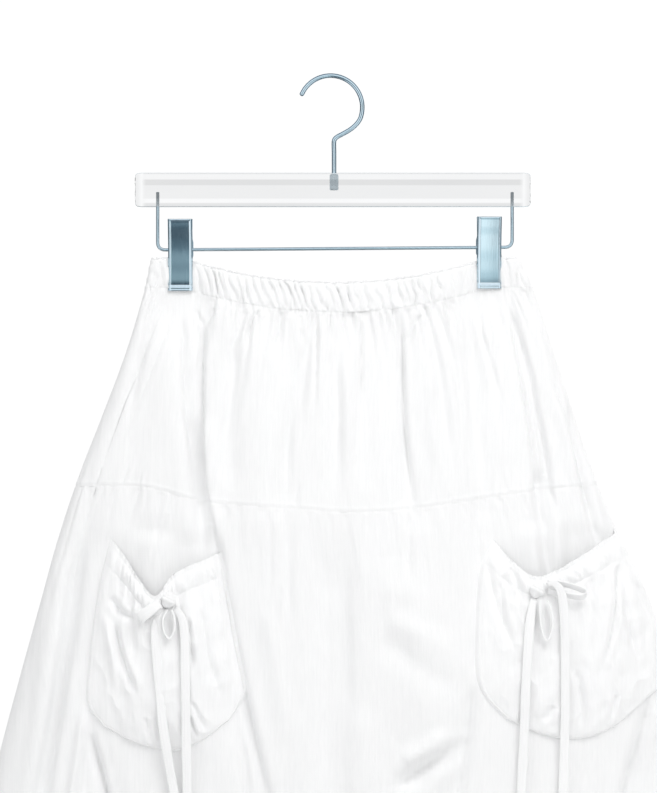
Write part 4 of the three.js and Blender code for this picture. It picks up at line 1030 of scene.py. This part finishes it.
def add_hem_band():
    """The casing at the foot: down outside, under and up inside."""
    # Distance out from the middle of the wall, share down.
    outside = [(-0.7, 0.0), (0.6, 0.03), (1.5, 0.10), (2.4, 0.25), (2.8, 0.42), (2.6, 0.6), (2.0, 0.78)]
    under = [(1.3, 0.9), (0.6, 0.97), (-0.1, 0.995), (-0.8, 0.975)]
    inside = [(-1.2, 0.85), (-1.4, 0.6), (-1.4, 0.3), (-1.2, 0.08)]
    profile = np.array(outside + under + inside)
    wall, down, share, z = casing_places(profile, HEM_COLUMNS, hem_seam, hem_line)
    along = np.mod(share, 2) * layer_length(z)
    wave = np.cos(math.pi * HEM_WAVES * np.mod(share, 2))
    phase = along / 9.2 + 0.7 * value_noise(along / 21 + 60, along * 0 + 3, 41)
    puckers = 1.7 * (np.abs(np.sin(math.pi * phase)) ** 0.7 - 0.7) * (0.6 + 0.4 * np.sin(math.pi * down))
    points = pushed_out(plain_vector, share, z, wall + HEM_DEPTH * wave + puckers)
    quads = grid_quads(*z.shape, wrap=True)
    piece = add_cloth("hem_band", points, quads, cotton_band, cut=(along, z + wall))


# ---------------------------------------------------------------- pockets

POCKETS = {
    "pocket_left": {
        "mouth": [(-200, -411), (-184, -430), (-157, -464), (-139, -444), (-99, -425)],
        "near": [(-200, -411), (-211, -461), (-219, -520), (-221, -560), (-207, -585)],
        "far": [(-99, -425), (-90, -470), (-79, -530), (-77, -552), (-90, -578)],
        "bottom": [(-207, -585), (-153, -603), (-125, -599), (-90, -578)],
        "creases": LEFT_POCKET_CREASES,
        "flat": (0.205, 0.185),
    },
    "pocket_right": {
        "mouth": [(143, -413), (159, -433), (181, -447), (217, -431), (256, -404)],
        "near": [(143, -413), (131, -440), (126, -495), (128, -542), (152, -578)],
        "far": [(256, -404), (284, -450), (305, -505), (297, -540), (277, -566)],
        "bottom": [(152, -578), (205, -593), (240, -588), (277, -566)],
        "creases": RIGHT_POCKET_CREASES,
        "flat": (0.225, 0.185),
    },
}
POCKET = {"mouth": 9, "belly": 9, "pleat": 1.4, "roundness": 0.8, "fade": 1.5, "pleats": 4}
POCKET_WIDE, POCKET_TALL = 125, 165
POCKET_ROWS, POCKET_COLUMNS = 176, 184
CHANNEL = 21  # height of the drawstring's channel under the mouth
FRILL = 4.5
CRUMPLE = 2.0
EDGE_SINK = 0.8  # how far the sewn edge goes into the panel, which has gathers of its own
TURNED_IN = (0.13, 0.008, 10)  # the mouth's cloth that is folded in: from, to and rows


def side_place(points, shares):
    """Places on a side of a patch at shares of its length."""
    dense, gone = dense_curve(np.vstack([points[0], points, points[-1]]), 60)
    return places_on(dense, gone, shares * gone[-1])


def patch_spot(pocket, down, across):
    """The share and height at shares down and across a patch whose lower corners are rounded."""
    mouth, near, far, bottom = (np.array(pocket[key], float) for key in ("mouth", "near", "far", "bottom"))
    a, d = across[..., None], down[..., None]
    upright = mix(side_place(mouth, across), side_place(bottom, across), d)
    level = mix(side_place(near, down), side_place(far, down), a)
    spot = upright + level - mix(mix(mouth[0], mouth[-1], a), mix(bottom[0], bottom[-1], a), d)
    centre = (near[2] + far[2]) / 2
    for sharp in (bottom[0], bottom[-1]):
        pull = bell(np.linalg.norm(spot - sharp, axis=-1) / 17)[..., None]
        spot = spot + unit(centre - sharp) * 3.4 * pull
    x, z = spot[..., 0], spot[..., 1]
    return 0.5 + (x - section_at(z)[0]) / layer_length(z), z


def add_pocket(node, pocket, seed):
    rows = np.concatenate([np.linspace(*TURNED_IN), closer_at_ends(POCKET_ROWS, 0.35)])
    down, across = np.meshgrid(rows, closer_at_ends(POCKET_COLUMNS, 0.5), indexing="ij")
    turned_in = np.arange(len(down))[:, None] < TURNED_IN[2]
    share, z = patch_spot(pocket, down, across)
    x, _, _, _ = plain_point(share, z)
    along = flat_along(share, z)
    below_mouth = down * POCKET_TALL
    round_edge = np.sin(math.pi * np.clip(across, 0, 1)) ** POCKET["roundness"]
    stand = POCKET["mouth"] * (1 - down) ** POCKET["fade"] + 4 * POCKET["belly"] * down * (1 - down)
    pleat = POCKET["pleat"] * (1 - down) * np.cos(2 * math.pi * POCKET["pleats"] * across)
    out = CLOTH / 2 + PATCH_GAP + POCKET_CLOTH / 2 + round_edge * (stand + pleat)
    # The channel: puffed between its mouth and its stitch line, with puckers that fan out below.
    phase = across * POCKET_WIDE / 6.6 + 0.8 * value_noise(across * 13 + 40, down * 5 + 8, seed)
    ridge = np.abs(np.sin(math.pi * phase)) ** 0.7 - 0.65
    tube = np.sin(math.pi * np.clip((below_mouth - FRILL) / (CHANNEL - FRILL), 0, 1))
    frill = bell(below_mouth / 3.6)
    fan = np.exp(-np.maximum(below_mouth - CHANNEL, 0) / 17) * (below_mouth > CHANNEL)
    uneven = 0.75 + 0.35 * value_noise(across * 19 + 11, down * 2 + 5, seed + 5)
    body = round_edge * (2.4 * tube + uneven * ridge * (3.4 * tube + 3.6 * frill + 2.2 * fan))
    broken = 0.6 + 0.5 * value_noise(across * 23 + 31, down * 2 + 5, seed + 6)
    stitched = 0.5 * bell((below_mouth - FRILL) / 1.1) + 1.1 * bell((below_mouth - CHANNEL) / 1.3)
    # The belly: creases, crinkle, pinches and the gathers that the channel throws.
    crinkle = 1.1 * cloth_noise(1.6 * along + 500, 1.8 * z + 900, seed + 3)
    pinch = value_noise((along + 0.4 * z) / 15 + 60, (z - 0.5 * along) / 30 + 60, seed + 11)
    pinch = pinch + 0.5 * value_noise((along - 0.5 * z) / 9 + 60, (z + 0.3 * along) / 15 + 60, seed + 12)
    crinkle = crinkle + CRUMPLE * (0.35 - np.abs(pinch))
    for place, reach, width, deep, lean in draw_gathers(seed + 7, 15, (18, 85), (1.8, 3.6), (0.5, 2.6)):
        lean = lean + 0.22 * (place - 0.5)
        away = ((across - place) * POCKET_WIDE - lean * below_mouth) / (width * (1 + below_mouth / 70))
        fade = np.clip(1 - (below_mouth - CHANNEL) / reach, 0, 1) * rise((below_mouth - 8) / 14)
        crinkle = crinkle - deep * fade * gather_line(away, 0.4)
    creases = crease_depth(pocket["creases"], x, z)
    detail = body - round_edge * broken * stitched + (creases + crinkle) * np.clip(round_edge * 1.6, 0, 1)
    # The sewn edge is a folded rim that comes down to the panel.
    to_side = np.minimum(across, 1 - across) * POCKET_WIDE
    to_edge = np.minimum(to_side, np.where(below_mouth > 6, (1 - down) * POCKET_TALL, 99))
    rim = 0.2 * bell((to_edge - 2.4) / 1.2) - 0.35 * bell((to_edge - 5.0) / 0.9)
    seat_width = 2.3 + 5 * np.exp(-below_mouth / 12)
    seat = bell(to_edge / seat_width) * (out + detail - CLOTH / 2 + EDGE_SINK)
    out = out + detail + rim - seat + POCKET_CLOTH / 2 * (1 - np.exp(-to_edge / 2.5))
    folded_in = out - 2.2 * rise((down - TURNED_IN[1]) / 0.03) - 0.5
    out = np.where(turned_in, folded_in, out) + panel_creases(share, z)
    points = pushed_out(folded_vector, share, z, out)
    piece = add_cloth(
        node, points, grid_quads(*z.shape), cotton_pocket, cut=(along, z), seam=(to_edge, along + z)
    )


add_waistband()
for node, start, seed in (("yoke_front", 0, 101), ("yoke_back", 1, 141)):
    gathers = [
        (seed, 76, 14, 70, 4.6, False),
        (seed + 1, 40, 50, 170, 3.0, False),
        (seed + 2, 24, 8, 40, 1.6, True),
    ]
    add_panel(
        node, start, band_bottom, yoke_seam, YOKE_ROWS, gathers,
        (WAIST_DIP, JOIN_DIP), SEAM_TICKS, 0.15,
    )
for node, start, seed in (("lower_front", 0, 111), ("lower_back", 1, 151)):
    gathers = [
        (seed, 56, 26, 130, 4.0, True),
        (seed + 1, 60, 6, 40, 1.5, False),
        (seed + 2, 26, 60, 230, 1.8, False),
    ]
    add_panel(
        node, start, yoke_seam, hem_seam, LOWER_ROWS, gathers,
        (JOIN_DIP, JOIN_DIP), 0.25, 1,
    )
add_hem_band()
for index, (node, pocket) in enumerate(POCKETS.items()):
    add_pocket(node, pocket, 201 + 10 * index)

# ---------------------------------------------------------------- hanger


def tube_mesh(line, radius, sides, round_start=0.0, round_end=0.0):
    """A round wire along a line in the plane of the hanger. Its domed ends are shares of its radius long."""
    line = np.asarray(line, float)
    along = unit(np.gradient(line, axis=0))
    level = np.array([0.0, 1.0, 0.0])
    side = unit(np.cross(along, level))
    dome = [(t, math.sqrt(1 - t * t)) for t in np.linspace(0.12, 1, 6)[:-1]]
    start, end = along[0] * radius * round_start, along[-1] * radius * round_end
    rings = [(line[0] - start * rest, side[0], radius * t) for t, rest in dome]
    rings += [(point, way, radius) for point, way in zip(line, side)]
    rings += [(line[-1] + end * rest, side[-1], radius * t) for t, rest in dome[::-1]]
    angles = np.linspace(0, 2 * math.pi, sides, endpoint=False)
    points = [c + r * (math.cos(a) * way + math.sin(a) * level) for c, way, r in rings for a in angles]
    return np.array(points), capped_quads(len(rings), sides)


HOOK = {"x": -1.9, "z": -26.4, "radius": 28.5, "wire": 2.1}
STEM_X = 1.2


def add_hook():
    angle = np.radians(np.linspace(156, -22, 15))
    across, up = HOOK["x"] + HOOK["radius"] * np.cos(angle), HOOK["z"] + HOOK["radius"] * np.sin(angle)
    arc = np.stack([across, 0 * angle, up], axis=-1)
    neck = [(20.6, 0, -42.4), (15.2, 0, -46.8), (8.6, 0, -50.6), (3.6, 0, -53.4)]
    stem = [(STEM_X, 0, z) for z in (-57, -67.5, -78, -88.5, -99)]
    line, _ = smooth_route([*arc, *neck, *stem], 240)
    add_steel("hanger_hook_wire", "hanger_hook", *tube_mesh(line, HOOK["wire"], 24, round_start=0.7), steel)


def add_rod():
    left, right, bend = ROD["left"], ROD["right"], ROD["bend"]
    down_left = [(left, 0, ROD["top_z"]), (left, 0, ROD["left_z"])]
    up_right = [(right, 0, ROD["right_z"]), (right, 0, ROD["top_z"])]
    corners = np.array(down_left + up_right)
    line = [corners[0] + (corners[1] - corners[0]) * t for t in np.linspace(0, 0.8, 14)]
    for index in (1, 2):
        here = corners[index]
        before = here + unit(corners[index - 1] - here) * bend
        after = here + unit(corners[index + 1] - here) * bend
        line += [(1 - t) ** 2 * before + 2 * t * (1 - t) * here + t**2 * after for t in np.linspace(0, 1, 14)]
        far = corners[index + 1] - here
        skip = bend / np.linalg.norm(far)
        stop = 1 - skip if index == 1 else 1
        line += [here + far * t for t in np.linspace(skip, stop, 40)[1:-1]]
    line.append(corners[3])
    add_steel("hanger_rod_wire", "hanger_rod", *tube_mesh(line, ROD["wire"] / 2, 20, 0.3, 0.3), steel_rod)


def add_socket():
    """A turned sleeve round the hook's stem."""
    # radius, z
    profile = [
        (3.2, -101.0), (3.8, -100.8), (4.0, -100.2), (4.0, -98), (3.9, -97.6), (4.0, -97.2), (4.0, -88.2),
        (3.85, -87.2), (3.4, -86.6), (2.9, -86.5), (2.5, -86.7), (2.4, -87.4), (2.4, -98.6),
    ]
    angles = np.linspace(0, 2 * math.pi, 32, endpoint=False)
    points = np.array([(STEM_X + r * math.cos(a), r * math.sin(a), z) for r, z in profile for a in angles])
    add_steel("hook_socket_sleeve", "hook_socket", points, capped_quads(len(profile), 32, True), steel_dark)


def add_bar():
    """The moulded bar: a rounded outside, with a stepped channel pressed into its front and back."""
    # Share down from the top, and how far in the face is pressed there.
    face = [
        (0.0, 2.2), (0.018, 0.8), (0.045, 0.15), (0.075, 0.0), (0.19, 0.0), (0.205, 0.5), (0.215, 1.1),
        (0.33, 1.1), (0.345, 0.7), (0.36, 0.55), (0.55, 0.5), (0.735, 0.5), (0.75, 0.1), (0.765, 0.0),
        (0.88, 0.0), (0.895, 0.6), (0.91, 0.7), (0.94, 0.5), (0.96, 0.3), (0.982, 0.8), (1.0, 2.2),
    ]
    # Distance from the end, and how much thinner the bar is there.
    ends = [(0.0, 1.7), (0.35, 0.8), (1.0, 0.25), (2.0, 0.0)]
    steps = [(d - BAR_HALF, thin) for d, thin in ends]
    steps += [(x, 0.0) for x in np.linspace(6 - BAR_HALF, BAR_HALF - 6, 40)]
    steps += [(BAR_HALF - d, thin) for d, thin in reversed(ends)]
    middle = BAR_TOP - BAR_HEIGHT / 2
    points = []
    for x, thin in steps:
        in_corner = BAR_CORNER - min(BAR_HALF - abs(x), BAR_CORNER)
        cut = BAR_CORNER - math.sqrt(max(BAR_CORNER**2 - in_corner**2, 0))
        height = BAR_HEIGHT / 2 - cut
        ring = [(BAR_DEEP - inset - thin, middle + height * (1 - 2 * share)) for share, inset in face]
        points += [(x, -y, z) for y, z in ring] + [(x, y, z) for y, z in reversed(ring)]
    quads = capped_quads(len(steps), 2 * len(face))
    add_piece("hanger_bar_moulding", "hanger_bar", np.array(points) * MM, quads, clear, {})


# Height from the rod, and the distance out from it.
CLIP_PROFILE = np.array(
    [(27.5, 12.5), (20, 11.6), (10, 9.6), (0, 8.2), (-12, 7.3), (-24, 6.5), (-33, 6.5), (CLIP_LIP, 7.6)]
)
CLIP_EAR = np.array([(-7.5, 6.2), (-5.5, -3.4), (6.5, -3.4), (9.5, 5.4), (27.5, 10.2)])
CLIP_TOP = 27.5
PLATE = 1.1
PLATE_CROWN = 0.25
CLIP_BEND = 1.3


def add_clip_half(node, x, width, side, turn):
    """A pressed plate with a rim round its face, a rolled lip and an ear at each side for the rod."""
    closer = [-36.2, -35.4, -34.4, 26.9, 26.2, 25.4, -7.5, -6.5, -5.5, 6.5, 8, 9.5]
    highs = np.unique(np.concatenate([np.linspace(CLIP_LIP, CLIP_TOP, 60), closer]))[::-1]
    half = width / 2
    face_x = np.concatenate([
        np.linspace(-half + CLIP_BEND, -half + 3, 5),
        np.linspace(-half + 3.6, half - 3.6, 12),
        np.linspace(half - 3, half - CLIP_BEND, 5),
    ])
    points = []
    for high in highs:
        out = float(smooth(CLIP_PROFILE, high))
        back = out - PLATE
        if high >= CLIP_EAR[0, 0]:
            back = min(back, float(np.interp(high, *CLIP_EAR.T)))
        bend_out = min(CLIP_BEND, 0.8 * max(out - back, PLATE))
        edge = [(-half, back), (-half, mix(back, out, 0.5)), (-half, out - bend_out)]
        for a in (math.radians(30), math.radians(60)):
            edge.append((-half + CLIP_BEND * (1 - math.cos(a)), out - bend_out * (1 - math.sin(a))))
        top_rim, lip_rim = 0.45 * bell((CLIP_TOP - high - 1.2) / 0.8), 0.5 * bell((high + 34.2) / 0.8)
        rim = 0.45 * bell((half - np.abs(face_x) - 1.5) / 0.8) + (top_rim + lip_rim)
        face = out + np.minimum(rim, 0.5) + PLATE_CROWN * (1 - (face_x / half) ** 2)
        row = [*edge, *zip(face_x, face), *((-px, po) for px, po in reversed(edge))]
        points += [(px, side * po, high) for px, po in row]
    px, py, pz = np.array(points).T
    cos, sin = math.cos(math.radians(turn)), math.sin(math.radians(turn))
    points = np.stack([px * cos - py * sin + x, px * sin + py * cos, pz + rod_z(x)], axis=-1)
    quads = grid_quads(len(highs), len(row))[:, ::-side]  # the back half is seen from the other side
    piece = add_steel(node + "_plate", node, points, quads, steel_plate)
    solidify = piece.modifiers.new("plate", "SOLIDIFY")
    solidify.thickness = 0.9 * MM
    solidify.offset = -1


def add_spring(node, x):
    turns, steps, coil, wire, sides = 6, 28, 2.9, 0.5, 10
    t = np.linspace(0, 1, turns * steps + 1)
    angle = 2 * math.pi * turns * t
    centre = np.stack([x + mix(-6.6, 6.6, t), 0 * t, 0 * t + rod_z(x)], axis=-1)
    line = centre + coil * np.stack([0 * t, np.cos(angle), np.sin(angle)], axis=-1)
    along = unit(np.gradient(line, axis=0))
    out = square_to(along, unit(line - centre))
    other = np.cross(along, out)
    turn = np.linspace(0, 2 * math.pi, sides, endpoint=False)[:, None]
    ring = np.cos(turn) * out[:, None] + np.sin(turn) * other[:, None]
    points = line[:, None] + wire * ring
    add_steel(node + "_coil", node, points, capped_quads(len(line), sides), steel)


add_hook()
add_rod()
add_socket()
add_bar()
for side_name, x in CLIP_X.items():
    turn = -3.5 if x < 0 else 4
    add_clip_half("clip_front_" + side_name, x, 22, -1, turn)
    add_clip_half("clip_back_" + side_name, x, 19.2, 1, turn)
    add_spring("clip_spring_" + side_name, x)
